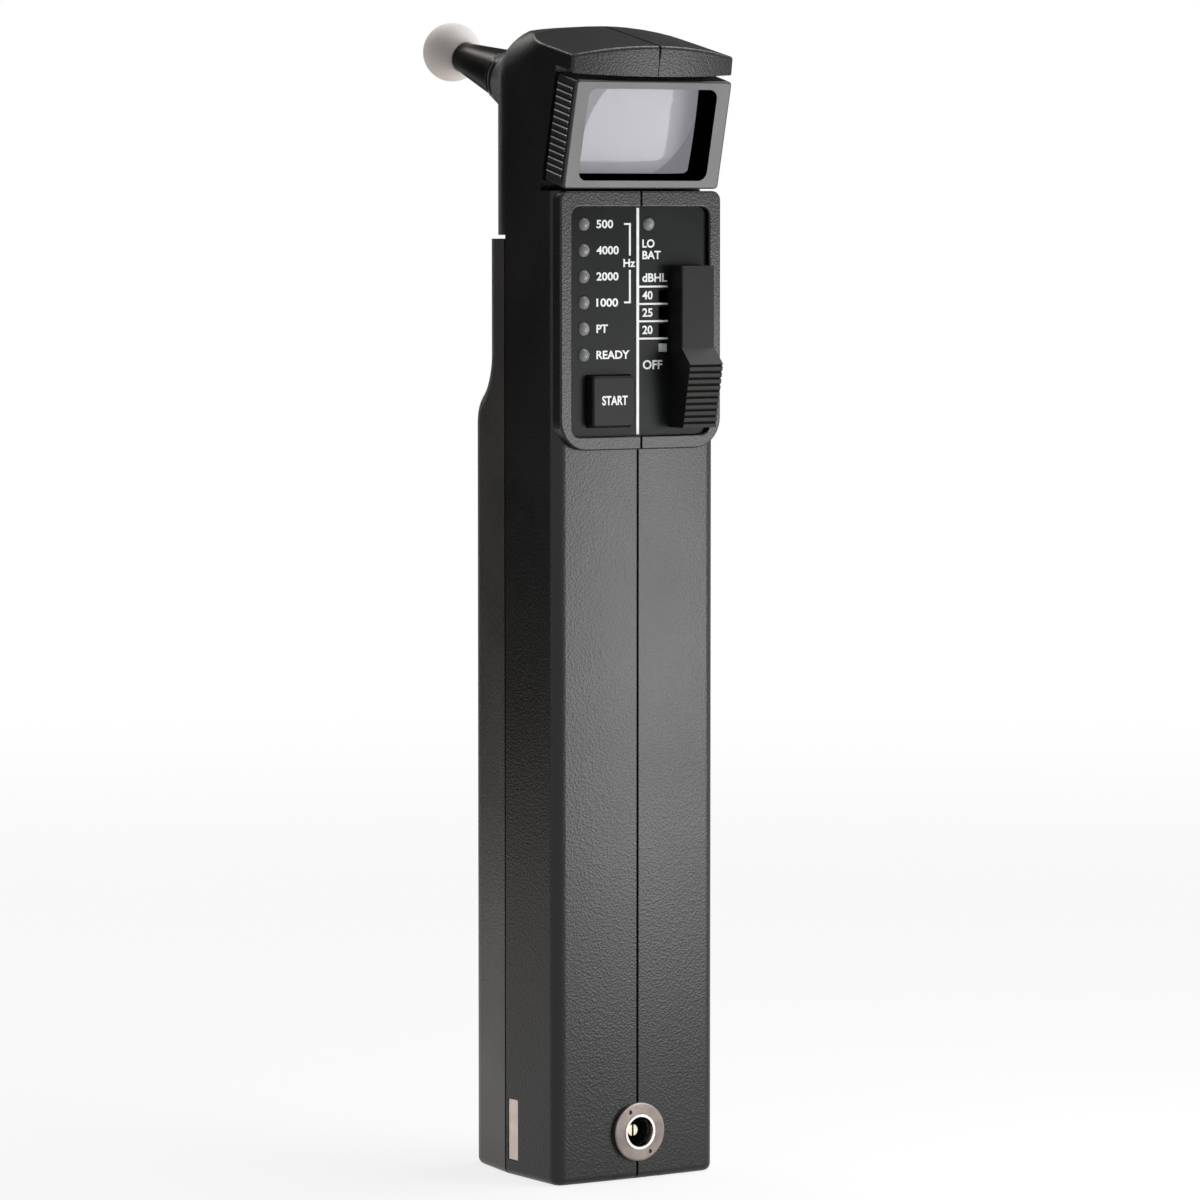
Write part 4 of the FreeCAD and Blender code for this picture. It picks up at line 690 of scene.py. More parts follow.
BOARD = Finish(
    "board_green", (0.020, 0.10, 0.045), (0.03, 0.13, 0.06), (0.25, 0.40), Grain.SATIN,
    grain_size=0.8 * MM, blotch=6 * MM,
)
CELL = Finish(
    "cell_sleeve", (0.06, 0.16, 0.11), (0.08, 0.19, 0.13), (0.22, 0.34), Grain.SATIN,
    grain_size=1.5 * MM, blotch=9 * MM,
)
TUBE = Finish(
    "tube_soft_grey", (0.40, 0.40, 0.38), (0.48, 0.48, 0.46), (0.5, 0.62), Grain.SKIN,
    blotch=3 * MM,
)

NODE_FINISHES: dict[str, Finish] = {
    "housing_left": CASE, "housing_right": CASE, "rear_cover": COVER, "panel_label": LABEL,
    "start_button": CONTROL, "level_slider": CONTROL, "level_pointer": POINTER,
    "start_switch": INNER, "level_switch": INNER,
    "eyepiece_frame": EYEPIECE, "eyepiece_lens": LENS, "lens_retainer": INNER,
    "head_chassis": INNER, "illumination_lamp": BULB, "sound_receiver": STEEL, "sound_tube": TUBE,
    "speculum_mount": COLLAR, "ear_tip_cone": CONE, "ear_tip_ball": BALL,
    "main_board": BOARD, "processor_chip": INNER, "amplifier_chip": INNER,
    "power_jack_body": JACK_BODY, "power_jack_nut": JACK_METAL, "power_jack_pin": PIN_METAL,
    "charging_contact_left": CONTACT_METAL, "charging_contact_right": CONTACT_METAL,
    "battery_tray": INNER,
    "battery_contacts_low": CONTACT_METAL, "battery_contacts_high": CONTACT_METAL,
    "battery_cell_1": CELL, "battery_cell_2": CELL, "battery_cell_3": CELL, "battery_cell_4": CELL,
    "board_screws": STEEL, "case_screws": STEEL, "cover_screws": STEEL,
    "lamp_500_hz": LAMP_TEST, "lamp_4000_hz": LAMP_TEST,
    "lamp_2000_hz": LAMP_TEST, "lamp_1000_hz": LAMP_TEST,
    "lamp_tone": LAMP_GREY, "lamp_ready": LAMP_READY, "lamp_low_battery": LAMP_GREY,
}


# ---------------------------------------------------------------- surfaces


@dataclass
class Surface:
    """A mesh in the making.

    Attributes:
        corners: Rows of X, Y and Z, in metres.
        faces: Each face as a list of corner numbers.
    """

    corners: np.ndarray
    faces: list[list[int]]

    def joined(self, other: Surface) -> Surface:
        """Puts another surface's corners and faces after this one's.

        Args:
            other: The other surface.

        Returns:
            The two as one.
        """
        shift = len(self.corners)
        moved = [[n + shift for n in face] for face in other.faces]
        return Surface(np.vstack([self.corners, other.corners]), self.faces + moved)

    def made(self, name: str, material: bpy.types.Material, smooth: bool) -> bpy.types.Object:
        """Makes the surface an object at the origin.

        Args:
            name: The object's name.
            material: The material of its whole surface.
            smooth: Whether its faces are shaded smooth.

        Returns:
            The new object.
        """
        mesh = bpy.data.meshes.new(name)
        mesh.from_pydata(self.corners.tolist(), [], self.faces)
        mesh.validate()
        mesh.update()
        mesh.polygons.foreach_set("use_smooth", [smooth] * len(mesh.polygons))
        mesh.materials.append(material)
        whole = bpy.data.objects.new(name, mesh)
        bpy.context.scene.collection.objects.link(whole)
        return whole

    def piece(self, name: str, finish: Finish, body: str, smooth: bool = True) -> bpy.types.Object:
        """Makes the surface an object that rides on a body.

        Args:
            name: The object's name.
            finish: The finish of its whole surface.
            body: The body that carries it.
            smooth: Whether its faces are shaded smooth.

        Returns:
            The new object, at the origin.
        """
        made = self.made(name, finish.material(), smooth)
        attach(made, body)
        return made


def grid_faces(rows: int, columns: int, wrap_rows: bool, wrap_columns: bool) -> list[list[int]]:
    """Joins a grid of corners into four-sided faces.

    Args:
        rows: The number of rows.
        columns: The number of corners in each row.
        wrap_rows: Whether the last row joins the first.
        wrap_columns: Whether the last column joins the first.

    Returns:
        The faces, as corner numbers counted row by row.
    """
    down = np.arange(rows if wrap_rows else rows - 1)[:, None]
    across = np.arange(columns if wrap_columns else columns - 1)[None, :]
    next_down, next_across = (down + 1) % rows, (across + 1) % columns
    a, b = down * columns + across, down * columns + next_across
    c, d = next_down * columns + next_across, next_down * columns + across
    return np.stack([a, b, c, d], axis=-1).reshape(-1, 4).tolist()


def quarter_turn(steps: int) -> np.ndarray:
    """Returns the angles that end each of a quarter turn's equal steps, in radians."""
    return np.linspace(1.0 / steps, 1.0, steps) * math.pi / 2.0


def placed_on_axis(local: np.ndarray) -> np.ndarray:
    """Turns corners counted along the optical axis into the object's own coordinates.

    X stays. Y is start + along cos(rise) - above sin(rise), and Z is
    start + along sin(rise) + above cos(rise).

    Args:
        local: Rows of X, distance along the axis and height above it, in metres.

    Returns:
        Rows of X, Y and Z, in metres.
    """
    turn = math.radians(AXIS_RISE)
    placed = local.copy()
    placed[:, 1] = AXIS_START[1] + local[:, 1] * math.cos(turn) - local[:, 2] * math.sin(turn)
    placed[:, 2] = AXIS_START[2] + local[:, 1] * math.sin(turn) + local[:, 2] * math.cos(turn)
    return placed


def turned_ring(profile: np.ndarray, steps: int) -> Surface:
    """Turns a closed profile round the local Y axis.

    Each corner is (radius sin angle, distance, radius cos angle), so a closed profile gives
    a closed ring with a hole along its axis.

    Args:
        profile: Rows of distance along the axis and radius, in metres, without a repeat.
        steps: The number of steps round the axis.

    Returns:
        The ring in local coordinates.
    """
    angle = np.linspace(0.0, 2.0 * math.pi, steps, endpoint=False)
    radius = profile[:, 1][:, None]
    distance = np.repeat(profile[:, 0][:, None], steps, axis=1)
    corners = np.stack([radius * np.sin(angle), distance, radius * np.cos(angle)], axis=-1)
    return Surface(corners.reshape(-1, 3), grid_faces(len(profile), steps, True, True))


# ---------------------------------------------------------------- sub-assemblies


@dataclass
class EarTip:
    """The soft ball round the end of the cone's tube.

    Lengths are in metres.

    Attributes:
        centre: The distance of the ball's middle along the optical axis.
        radius: The ball's radius.
        mouth: The radius at which the ball turns into its rolled lips.
        bore: The radius of the hole through it.
        lip: How deep the lips roll.
        flat: How much flatter than round a lip is.
        arc_points: The number of points along the ball's section.
        lip_points: The number of points along each lip.
        lip_start: Where the first of them lies, as a share of the lip.
        steps: The number of steps round the axis.
    """

    centre: float = 68.6 * MM
    radius: float = 5.48 * MM
    mouth: float = 2.95 * MM
    bore: float = 2.32 * MM
    lip: float = 0.45 * MM
    flat: float = 0.4
    arc_points: int = 60
    lip_points: int = 8
    lip_start: float = 0.15
    steps: int = 96

    def profile(self) -> np.ndarray:
        """Returns the ball's section: an arc from mouth to mouth, rolled lips and the bore.

        The arc is centre - radius cos(a), radius sin(a), where a runs between the angles at
        which radius sin(a) is the mouth's radius. Each lip is a quarter ellipse into the bore.

        Returns:
            Rows of distance along the axis and radius, in metres.
        """
        edge = math.asin(self.mouth / self.radius)
        sweep = np.linspace(edge, math.pi - edge, self.arc_points)
        along, out = self.centre - self.radius * np.cos(sweep), self.radius * np.sin(sweep)
        arc = np.column_stack([along, out])
        half = self.radius * math.cos(edge)
        turn = np.linspace(self.lip_start, 1.0, self.lip_points) * math.pi / 2.0
        drop = self.mouth - self.bore
        lip_end = self.centre + half - self.lip * (1 - np.cos(turn)) * self.flat
        front = np.column_stack([lip_end, self.mouth - drop * np.sin(turn)])
        back = front[::-1].copy()
        back[:, 0] = 2.0 * self.centre - back[:, 0]
        return np.vstack([arc, front, back])

    def build(self) -> bpy.types.Object:
        """Makes the ball, which stands for its plain solid.

        Returns:
            The ball.
        """
        ball = turned_ring(self.profile(), self.steps)
        ball.corners = placed_on_axis(ball.corners)
        made = ball.piece("ear_tip_soft_ball", BALL, "ear_tip")
        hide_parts("ear_tip_ball")
        return made


@dataclass
class Magnifier:
    """The rectangular magnifying lens: a domed front, rolled edges and a flat back.

    Lengths are in metres, and those along the axis are counted from the eyepiece's front.

    Attributes:
        half_width: Half the lens's width.
        half_height: Half its height.
        corner: The radius of its corners.
        apex: The depth of the dome's top.
        back: The depth of the flat back.
        dome_radius: The radius of the dome.
        roll: The radius of the rounded edges.
        inner_rings: The number of rings on the dome.
        front_rings: The number of rings on the rounded front edge.
        rear_rings: The number of rings on the rounded back edge.
        corner_points: The number of points round each corner.
        side_steps: The number of steps between one such point and the next.
        cap: The size of the innermost ring, as a share of the lens.
        back_rings: The sizes of the rings on the back, as shares of the lens.
    """

    half_width: float = 14.2 * MM
    half_height: float = 8.55 * MM
    corner: float = 0.6 * MM
    apex: float = 5.4 * MM
    back: float = 8.44 * MM
    dome_radius: float = 95.0 * MM
    roll: float = 0.25 * MM
    inner_rings: int = 26
    front_rings: int = 5
    rear_rings: int = 4
    corner_points: int = 7
    side_steps: int = 5
    cap: float = 0.02
    back_rings: tuple[float, ...] = (0.7, 0.35, 0.02)

    def outline(self, inset: float, share: float) -> np.ndarray:
        """Returns a rounded rectangle's corners as rows of X and height.

        Args:
            inset: How far the rectangle lies inside the lens's edge.
            share: Its size, as a share of the inset rectangle.

        Returns:
            The corners, in order round the axis.
        """
        wide, tall = self.half_width - inset, self.half_height - inset
        radius = self.corner - inset
        parts = []
        for quarter, (side, up) in enumerate(((1, 1), (-1, 1), (-1, -1), (1, -1))):
            sweep = (quarter + np.linspace(0.0, 1.0, self.corner_points)) * math.pi / 2.0
            x = side * (wide - radius) + radius * np.cos(sweep)
            z = up * (tall - radius) + radius * np.sin(sweep)
            parts.append(np.column_stack([x, z]))
        path = np.vstack(parts)
        following = np.roll(path, -1, axis=0)
        steps = np.linspace(0.0, 1.0, self.side_steps, endpoint=False)[None, :, None]
        filled = path[:, None, :] + (following - path)[:, None, :] * steps
        return filled.reshape(-1, 2) * share

    def dome(self, flat: np.ndarray) -> np.ndarray:
        """Works out how far along the axis the front lies: apex + R - sqrt(R^2 - x^2 - z^2).

        Args:
            flat: Rows of X and height, in metres.

        Returns:
            One distance for each row.
        """
        return self.apex + self.dome_radius - np.sqrt(self.dome_radius**2 - (flat**2).sum(axis=1))

    def build(self) -> bpy.types.Object:
        """Makes the lens, which stands for its plain solid.

        It is a stack of rounded rectangles: growing ones on the dome, then the rolled front
        edge, the side, the rolled back edge, and shrinking ones on the flat back.

        Returns:
            The lens.
        """
        rings = []
        for share in np.linspace(self.cap, 1.0, self.inner_rings):
            flat = self.outline(self.roll, share)
            rings.append((flat, self.dome(flat)))
        edge = self.dome(self.outline(self.roll, 1.0))
        for turn in quarter_turn(self.front_rings):
            flat = self.outline(self.roll * (1.0 - math.sin(turn)), 1.0)
            rings.append((flat, edge + self.roll * (1.0 - math.cos(turn))))
        flat = self.outline(0.0, 1.0)
        rings.append((flat, np.full(len(flat), self.back - self.roll)))
        for turn in quarter_turn(self.rear_rings):
            flat = self.outline(self.roll * (1.0 - math.cos(turn)), 1.0)
            rings.append((flat, np.full(len(flat), self.back - self.roll * (1.0 - math.sin(turn)))))
        for share in self.back_rings:
            flat = self.outline(self.roll, share)
            rings.append((flat, np.full(len(flat), self.back)))
        rows = [np.column_stack([flat[:, 0], depth, flat[:, 1]]) for flat, depth in rings]
        corners = np.vstack(rows)
        count = len(rings[0][0])
        faces = grid_faces(len(rings), count, False, True)
        last = (len(rings) - 1) * count
        faces += [list(range(count))[::-1], list(range(last, last + count))]
        surface = Surface(placed_on_axis(corners), faces)
        lens = surface.piece("eyepiece_domed_lens", LENS, "eyepiece")
        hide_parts("eyepiece_lens")
        return lens


@dataclass(frozen=True)
class Lettering:
    """One printed word, in millimetres.

    Attributes:
        words: What it says.
        left: The X at which it starts.
        middle: The height of its middle.
        width: Its width.
        tall: Its height.
    """

    words: str
    left: float
    middle: float
    width: float
    tall: float = 1.5


@dataclass
class PrintedPanel:
    """White lettering and rules on the label and the start button, in millimetres.

    Attributes:
        label_face: The Y of the label's face.
        button_face: The Y of the start button's face.
        film: The ink's thickness.
        sunk: How far the ink's back lies inside the surface.
        bolder: How much the letters' strokes are widened, as a share of the letters' size.
        lamp_top: The height of the first lamp.
        lamp_pitch: The lamps' spacing.
        lamp_words_x: The X at which the lamps' words start.
        words: The lamps' words and their widths.
        levels: The levels' words, from the top.
        level_size: The width and height of a level's word.
        level_top: The height of the middle of the first level's word.
        level_pitch: The levels' spacing.
        right_words_x: The X at which the words right of the divider start.
        rule: The width of a printed line.
        level_rule: The X at which the levels' rules start and end.
        divider: The left, right, low and high edges of the line down the label.
        bracket: The X of the line that joins the lamps' words.
        bracket_half: Half of that line's width.
        bracket_gap: The heights between which it leaves room for its own word.
        tick: The length of the bracket's ends.
        button_word: The word on the start button.
        section_points: The number of points round a line's section.
        squareness: The power that makes the section's half circle squarer.
    """

    label_face: float = -17.2
    button_face: float = -19.2
    film: float = 0.018
    sunk: float = 0.003
    bolder: float = 0.024
    lamp_top: float = 172.4
    lamp_pitch: float = 4.66
    lamp_words_x: float = -8.95
    words: tuple[tuple[str, float], ...] = (
        ("500", 3.55), ("4000", 4.75), ("2000", 4.7), ("1000", 4.6), ("PT", 2.4), ("READY", 7.05),
    )
    levels: tuple[str, ...] = ("40", "25", "20")
    level_size: tuple[float, float] = (2.2, 1.55)
    level_top: float = 159.65
    level_pitch: float = 3.1
    right_words_x: float = 0.85
    rule: float = 0.34
    level_rule: tuple[float, float] = (0.1, 6.3)
    divider: tuple[float, float, float, float] = (-0.42, 0.16, 134.75, 175.25)
    bracket: float = -1.82
    bracket_half: float = 0.2
    bracket_gap: tuple[float, float] = (164.2, 166.75)
    tick: float = 1.25
    button_word: Lettering = Lettering("START", -9.0, 141.0, 5.4, 1.7)
    section_points: int = 12
    squareness: float = 0.4

    def lettering(self) -> list[Lettering]:
        """Lists the label's words.

        Returns:
            The words with their places.
        """
        rows = [
            Lettering(words, self.lamp_words_x, self.lamp_top - self.lamp_pitch * row, width)
            for row, (words, width) in enumerate(self.words)
        ]
        rows += [
            Lettering(
                words, self.right_words_x, self.level_top - self.level_pitch * row, *self.level_size
            )
            for row, words in enumerate(self.levels)
        ]
        rows += [
            Lettering("Hz", -3.2, 165.45, 2.5, 1.45),
            Lettering("LO", self.right_words_x, 168.9, 2.6, 1.5),
            Lettering("BAT", self.right_words_x, 166.85, 3.95, 1.5),
            Lettering("dBHL", self.right_words_x, 162.8, 5.3, 1.55),
            Lettering("OFF", 0.95, 147.2, 4.2, 1.65),
        ]
        return rows

    def rules(self) -> list[tuple[float, float, float, float]]:
        """Lists the printed lines: the divider, the bracket in two parts, and the levels' rules.

        Returns:
            Each line's left, right, low and high edges.
        """
        thin = self.rule / 2.0
        line = self.bracket
        left, right = line - self.bracket_half, line + self.bracket_half
        last = self.lamp_top - 3.0 * self.lamp_pitch
        bars = [
            self.divider,
            (left, right, self.bracket_gap[1], self.lamp_top + thin),
            (left, right, last - thin, self.bracket_gap[0]),
            (line - self.tick, line, self.lamp_top - thin, self.lamp_top + thin),
            (line - self.tick, line, last - thin, last + thin),
        ]
        top = self.level_top + self.level_pitch / 2.0
        for row in range(len(self.levels) + 1):
            middle = top - self.level_pitch * row
            bars.append((*self.level_rule, middle - thin, middle + thin))
        return bars

    def word(self, text: Lettering, face: float) -> Surface:
        """Makes one word as a thin raised print on a plane of constant Y.

        The word's outline is scaled to its width and height. Its X stays X, its Y becomes Z
        and its thickness stands out towards the user.

        Args:
            text: The word and its place.
            face: The Y of the surface that carries it, in millimetres.

        Returns:
            The word's surface, in metres.
        """
        curve = bpy.data.curves.new("word", "FONT")
        curve.body = text.words
        # Any depth does, because the word is flattened to the ink's thickness below.
        curve.extrude = 0.5
        curve.offset = self.bolder
        curve.resolution_u = 4
        holder = bpy.data.objects.new("word", curve)
        bpy.context.scene.collection.objects.link(holder)
        bpy.context.view_layer.update()
        evaluated = holder.evaluated_get(bpy.context.evaluated_depsgraph_get())
        mesh = bpy.data.meshes.new_from_object(evaluated)
        flat = np.zeros(len(mesh.vertices) * 3)
        mesh.vertices.foreach_get("co", flat)
        flat = flat.reshape(-1, 3)
        faces = [list(polygon.vertices) for polygon in mesh.polygons]
        bpy.data.objects.remove(holder)
        bpy.data.curves.remove(curve)
        bpy.data.meshes.remove(mesh)
        low, high = flat.min(axis=0), flat.max(axis=0)
        share = (flat - low) / (high - low)
        corners = np.column_stack(
            [
                text.left + share[:, 0] * text.width,
                face + self.sunk - share[:, 2] * (self.film + self.sunk),
                text.middle + (share[:, 1] - 0.5) * text.tall,
            ]
        )
        return Surface(corners * MM, faces)

    def bar(self, edges: tuple[float, float, float, float]) -> Surface:
        """Makes one printed line: a rounded section carried from edge to edge.

        The section is half a flattened circle, so the ink stands proud in its middle.

        Args:
            edges: The left, right, low and high edges, in millimetres.

        Returns:
            The line's surface, in metres.
        """
        left, right, low, high = edges
        upright = high - low > right - left
        sweep = np.linspace(0.0, 2.0 * math.pi, self.section_points, endpoint=False)
        wide = (right - left if upright else high - low) / 2.0
        across = np.sign(np.cos(sweep)) * np.abs(np.cos(sweep)) ** self.squareness * wide
        rise = np.abs(np.sin(sweep)) ** self.squareness * self.film
        proud = np.where(np.sin(sweep) > 0, rise, -self.sunk)
        ends = (low, high) if upright else (left, right)
        middle = (left + right) / 2.0 if upright else (low + high) / 2.0
        run, side, out = np.broadcast_arrays(
            np.array(ends)[:, None], middle + across[None, :], self.label_face - proud[None, :]
        )
        stacked = [side, out, run] if upright else [run, out, side]
        corners = np.stack(stacked, axis=-1).reshape(-1, 3)
        count = len(sweep)
        faces = grid_faces(2, count, False, True)
        faces += [list(range(count))[::-1], list(range(count, 2 * count))]
        return Surface(corners * MM, faces)

    def build(self) -> list[bpy.types.Object]:
        """Makes the label's print and the button's word.

        Returns:
            The two prints.
        """
        parts = [self.word(text, self.label_face) for text in self.lettering()]
        parts += [self.bar(edges) for edges in self.rules()]
        whole = parts[0]
        for part in parts[1:]:
            whole = whole.joined(part)
        label = whole.piece("label_print", INK, "case", smooth=False)
        button = self.word(self.button_word, self.button_face)
        word = button.piece("button_print", INK, "start_button", smooth=False)
        return [label, word]


@dataclass
class FinishedNodes:
    """The solids of the frame, which take a finish each.

    Attributes:
        nodes: The solids by name.
    """

    nodes: dict[str, bpy.types.Object]

    def dress(self) -> int:
        """Gives every node its finish.

        Returns:
            How many nodes there are.
        """
        for name, node in self.nodes.items():
            finish = NODE_FINISHES[name]
            node.data.materials.clear()
            node.data.materials.append(finish.material())
        return len(self.nodes)


# ---------------------------------------------------------------- studio


@dataclass(frozen=True)
class Softbox:
    """A rectangular light.

    Attributes:
        name: The light's name.
        place: Its middle, in metres.
        aim: The point that it faces, in metres.
        size: Its width and height, in metres.
        power: Its power, in watts.
        colour: Its colour.
        roll: Its turn about its own axis, in degrees.
    """

    name: str
    place: Point
    aim: Point
    size: tuple[float, float]
    power: float
    colour: Colour = (1.0, 1.0, 1.0)
    roll: float = 0.0

    def build(self) -> bpy.types.Object:
        """Makes the light and turns it to its aim.

        Returns:
            The light.
        """
        data = bpy.data.lights.new(self.name, "AREA")
        data.shape = "RECTANGLE"
        data.size, data.size_y = self.size
        data.energy = self.power
        data.color = self.colour
        light = bpy.data.objects.new(self.name, data)
        bpy.context.scene.collection.objects.link(light)
        light.visible_camera = False
        light.location = self.place
        light.rotation_euler = facing(self.place, self.aim)
        light.rotation_euler.rotate_axis("Z", math.radians(self.roll))
        return light


@dataclass(frozen=True)
class Card:
    """An upright dark card that only mirrored rays meet, which the black sides mirror.

    Attributes:
        name: The object's name.
        centre: Its middle, in metres.
        turn: Its turn about the upright axis, in degrees, from facing along Y.
        width: Its width, in metres.
        height: Its height, in metres.
        grey: Its reflectance.
        rows: The corners up its height.
        columns: The corners across its width.
    """

    name: str
    centre: Point
    turn: float
    width: float
    height: float
    grey: float
    rows: int = 7
    columns: int = 13

    def build(self) -> bpy.types.Object:
        """Makes the card, slightly bowed, and hides it from all rays but mirrored ones.

        The bow is across^2 / (2 width), at right angles to the card.

        Returns:
            The card.
        """
        across = np.linspace(-0.5, 0.5, self.columns)[None, :] * self.width
        up = np.linspace(-0.5, 0.5, self.rows)[:, None] * self.height
        turn = math.radians(self.turn)
        bow = across**2 / (2.0 * self.width)
        x = self.centre[0] + across * math.cos(turn) + bow * math.sin(turn)
        y = self.centre[1] + across * math.sin(turn) - bow * math.cos(turn)
        grids = np.broadcast_arrays(x, y, self.centre[2] + up)
        corners = np.stack(grids, axis=-1).reshape(-1, 3)
        sheet = Surface(corners, grid_faces(self.rows, self.columns, False, False))
        card = sheet.made(self.name, self.finish().material(), smooth=False)
        for rays in ("camera", "diffuse", "transmission", "volume_scatter", "shadow"):
            setattr(card, f"visible_{rays}", False)
        return card

    def finish(self) -> Finish:
        """Mixes the card's matt, even grey.

        Returns:
            The finish.
        """
        base = (self.grey, self.grey, self.grey)
        tint = tuple(self.grey * warmth for warmth in CARD_TINT)
        return Finish(self.name, base, tint, (0.8, 0.9), Grain.SATIN, blotch=60 * MM)


def facing(place: Point, aim: Point) -> tuple[float, float, float]:
    """Works out the turn that points an object's -Z from one point to another, kept level.

    The tilt is atan2(level distance, drop), and the turn about the upright is atan2(-x, y).

    Args:
        place: Where the object is, in metres.
        aim: What it faces, in metres.

    Returns:
        The Euler angles, in radians.
    """
    x, y, z = (a - p for a, p in zip(aim, place))
    return math.atan2(math.hypot(x, y), -z), 0.0, math.atan2(-x, y)


def seen_rays(tree: bpy.types.NodeTree) -> Socket:
    """Tells the rays that show or mirror the surround from those that only light the object.

    Args:
        tree: The tree that the nodes are added to.

    Returns:
        A socket that is 1 for camera, glossy and transmission rays, and 0 for the rest.
    """
    rays = tree.nodes.new("ShaderNodeLightPath")
    total = rays.outputs["Is Camera Ray"]
    for name in ("Is Glossy Ray", "Is Transmission Ray"):
        larger = tree.nodes.new("ShaderNodeMath")
        larger.operation = "MAXIMUM"
        tree.links.new(total, larger.inputs[0])
        tree.links.new(rays.outputs[name], larger.inputs[1])
        total = larger.outputs[0]
    return total


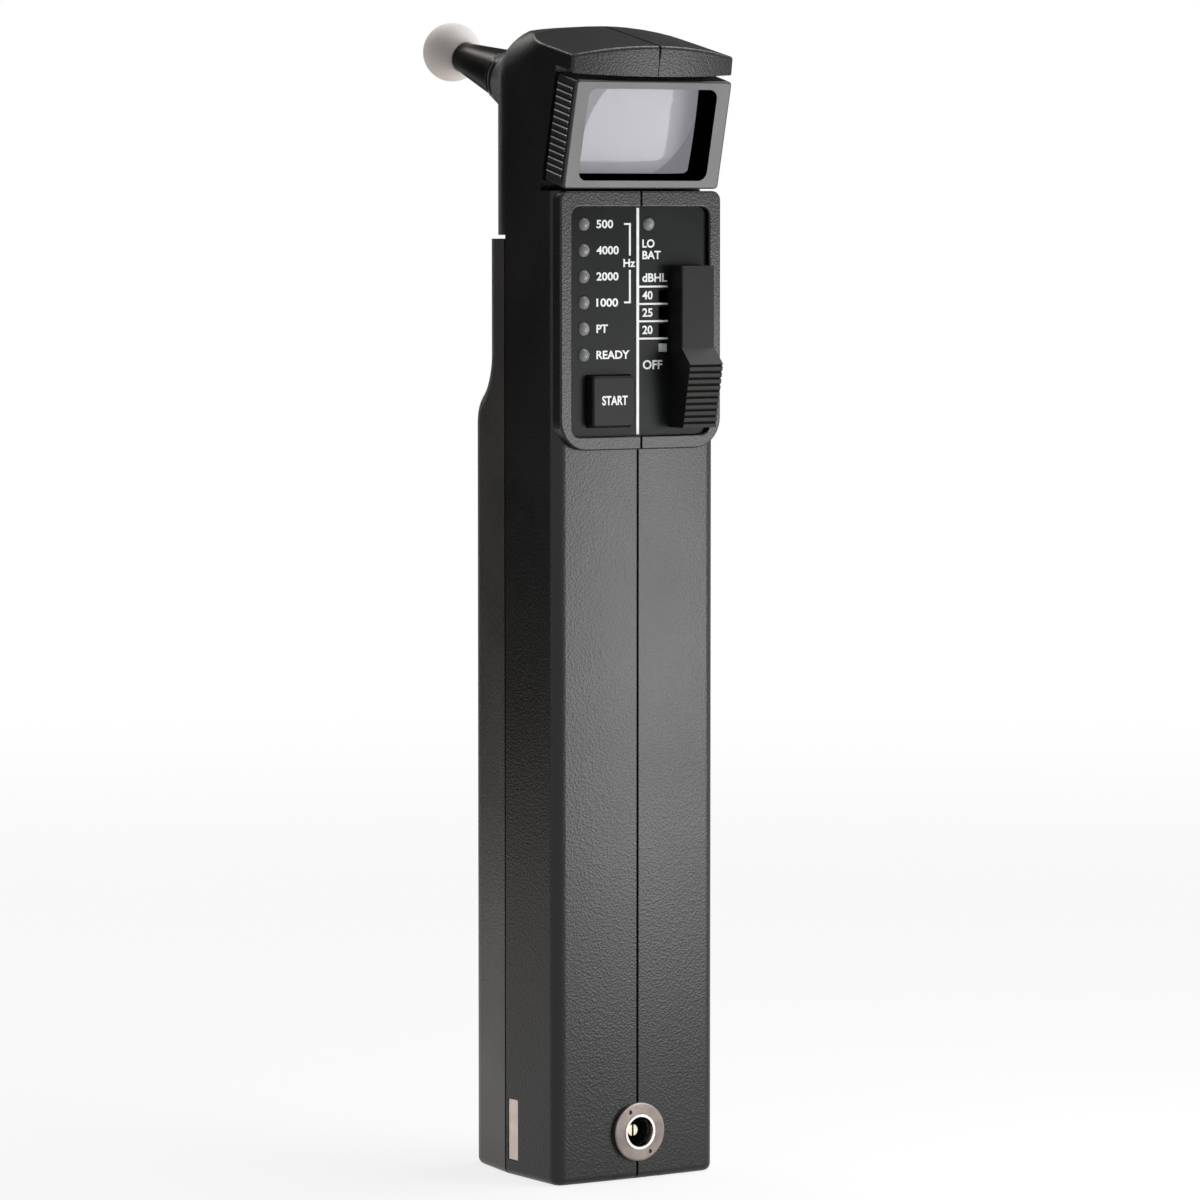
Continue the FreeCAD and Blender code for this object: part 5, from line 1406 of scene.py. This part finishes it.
@dataclass
class Studio:
    """A pale floor, a white surround, softboxes, dark cards and the camera.

    Attributes:
        camera_place: The camera's place, in metres.
        azimuth: How far it looks from the user's left, in degrees from straight ahead.
        pitch: How far it looks down, in degrees.
        lens: Its focal length, in millimetres.
        sensor: Its sensor's width, in millimetres.
        floor_hole: The radius of the floor's first ring, in metres.
        floor_reach: The floor's radius, in metres.
        floor_drop: How far the floor lies under the object, in metres.
        floor_rings: The number of rings on the floor.
        floor_spokes: The number of corners on each ring.
        paper: The floor's reflectance.
        fade_span: The distances between which the floor turns to plain white, in metres.
        fade_share: The share of plain white at those two distances.
        fill: The strength of the even fill.
        lights: The softboxes.
        cards: The dark cards.
    """

    camera_place: Point = (-0.57771, -0.89419, 0.1764)
    azimuth: float = 33.0
    pitch: float = 3.890
    lens: float = 175.8
    sensor: float = 36.0
    floor_hole: float = 0.02
    floor_reach: float = 6.0
    floor_drop: float = 0.00002
    floor_rings: int = 24
    floor_spokes: int = 48
    paper: float = 0.86
    fade_span: tuple[float, float] = (0.1, 1.0)
    fade_share: tuple[float, float] = (0.8, 1.0)
    fill: float = 0.24
    lights: tuple[Softbox, ...] = (
        Softbox(
            "key", (0.124, -0.198, 0.088), (0.0, -0.017, 0.088), (0.13, 0.145), 0.52, roll=12.0
        ),
        Softbox("top_right", (0.24, -0.03, 0.62), (0.0, 0.0, 0.10), (0.36, 0.36), 2.4),
        Softbox("rim", (-0.06, 0.55, 0.56), (0.0, 0.0, 0.17), (0.32, 0.16), 1.1, (1.0, 0.95, 0.90)),
        Softbox("left_strip", (-0.235, 0.10, 0.115), (0.0, 0.0, 0.115), (0.026, 0.19), 0.048),
        Softbox(
            "back_left_low", (-0.18, 0.25, 0.012), (0.0, 0.0, 0.03), (0.20, 0.03), 0.025,
            (1.0, 0.87, 0.77),
        ),
        Softbox(
            "behind", (-0.10, 0.42, 0.07), (0.0, 0.0, 0.08), (0.10, 0.14), 0.056, (1.0, 0.90, 0.82)
        ),
    )
    cards: tuple[Card, ...] = (
        Card("card_left", (-0.19, 0.27, 0.22), 50.0, 0.42, 0.44, 0.006),
        Card("card_behind", (0.27, 0.34, 0.40), -36.0, 0.48, 0.80, 0.08),
    )

    def build(self) -> None:
        """Sets the surround, floor, lights, cards and camera."""
        bpy.context.scene.view_settings.view_transform = "Standard"
        self.set_world()
        self.lay_floor()
        for part in (*self.lights, *self.cards):
            part.build()
        self.set_camera()

    def set_world(self) -> None:
        """White where it is seen or mirrored, and a soft even fill elsewhere."""
        world = bpy.data.worlds.new("surround")
        bpy.context.scene.world = world
        world.use_nodes = True
        tree = world.node_tree
        tree.nodes.clear()
        output = tree.nodes.new("ShaderNodeOutputWorld")
        mix = tree.nodes.new("ShaderNodeMixShader")
        soft, white = (tree.nodes.new("ShaderNodeBackground") for _ in range(2))
        soft.inputs["Strength"].default_value = self.fill
        white.inputs["Color"].default_value = (1.0, 1.0, 1.0, 1.0)
        white.inputs["Strength"].default_value = 1.0
        tree.links.new(seen_rays(tree), mix.inputs[0])
        tree.links.new(soft.outputs[0], mix.inputs[1])
        tree.links.new(white.outputs[0], mix.inputs[2])
        tree.links.new(mix.outputs[0], output.inputs["Surface"])

    def lay_floor(self) -> None:
        """A pale floor that keeps a soft shadow near the object and fades to white far off.

        Its corners are (radius cos(angle), radius sin(angle), 0), on rings whose radii grow
        by one factor.
        """
        radius = np.geomspace(self.floor_hole, self.floor_reach, self.floor_rings)[:, None]
        angle = np.linspace(0.0, 2.0 * math.pi, self.floor_spokes, endpoint=False)
        level = np.zeros((self.floor_rings, self.floor_spokes))
        corners = np.stack([radius * np.cos(angle), radius * np.sin(angle), level], axis=-1)
        faces = grid_faces(self.floor_rings, self.floor_spokes, False, True)
        faces.append(list(range(self.floor_spokes)))
        sheet = Surface(corners.reshape(-1, 3), faces)
        floor = sheet.made("floor", self.floor_material(), smooth=False)
        floor.location.z = -self.floor_drop

    def floor_material(self) -> bpy.types.Material:
        """Diffuse paper near the object, blended by distance into plain white.

        Returns:
            The material.
        """
        graph = Graph("studio_paper")
        graph.nodes.remove(graph.shader)
        paper = graph.nodes.new("ShaderNodeBsdfDiffuse")
        paper.inputs["Color"].default_value = (self.paper, self.paper, self.paper, 1.0)
        white = graph.nodes.new("ShaderNodeEmission")
        far = graph.nodes.new("ShaderNodeVectorMath")
        far.operation = "LENGTH"
        graph.join(graph.place, far.inputs[0])
        fade = graph.mapped(far.outputs["Value"], self.fade_span, self.fade_share, "SMOOTHSTEP")
        share = graph.math("MULTIPLY", fade, seen_rays(graph.material.node_tree))
        mix = graph.nodes.new("ShaderNodeMixShader")
        for source, slot in zip((share, paper.outputs[0], white.outputs[0]), mix.inputs):
            graph.join(source, slot)
        graph.join(mix.outputs[0], graph.output.inputs["Surface"])
        return graph.material

    def set_camera(self) -> None:
        """A long lens at the user's left, a little above the panel."""
        data = bpy.data.cameras.new("camera")
        data.sensor_width = self.sensor
        data.lens = self.lens
        data.clip_start, data.clip_end = 0.05, 50.0
        camera = bpy.data.objects.new("camera", data)
        bpy.context.scene.collection.objects.link(camera)
        camera.location = self.camera_place
        camera.rotation_euler = (math.radians(90.0 - self.pitch), 0.0, -math.radians(self.azimuth))
        bpy.context.scene.camera = camera


def main() -> None:
    """Loads the frame, dresses it, builds the new pieces and sets the studio."""
    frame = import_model()
    LOG.info("dressed %d nodes", FinishedNodes(frame["nodes"]).dress())
    for maker in (EarTip(), Magnifier()):
        LOG.info("built %s", maker.build().name)
    for made in PrintedPanel().build():
        LOG.info("built %s", made.name)
    Studio().build()


if __name__ == "__main__":
    logging.basicConfig(level=logging.INFO, format="%(name)s: %(message)s")
    main()
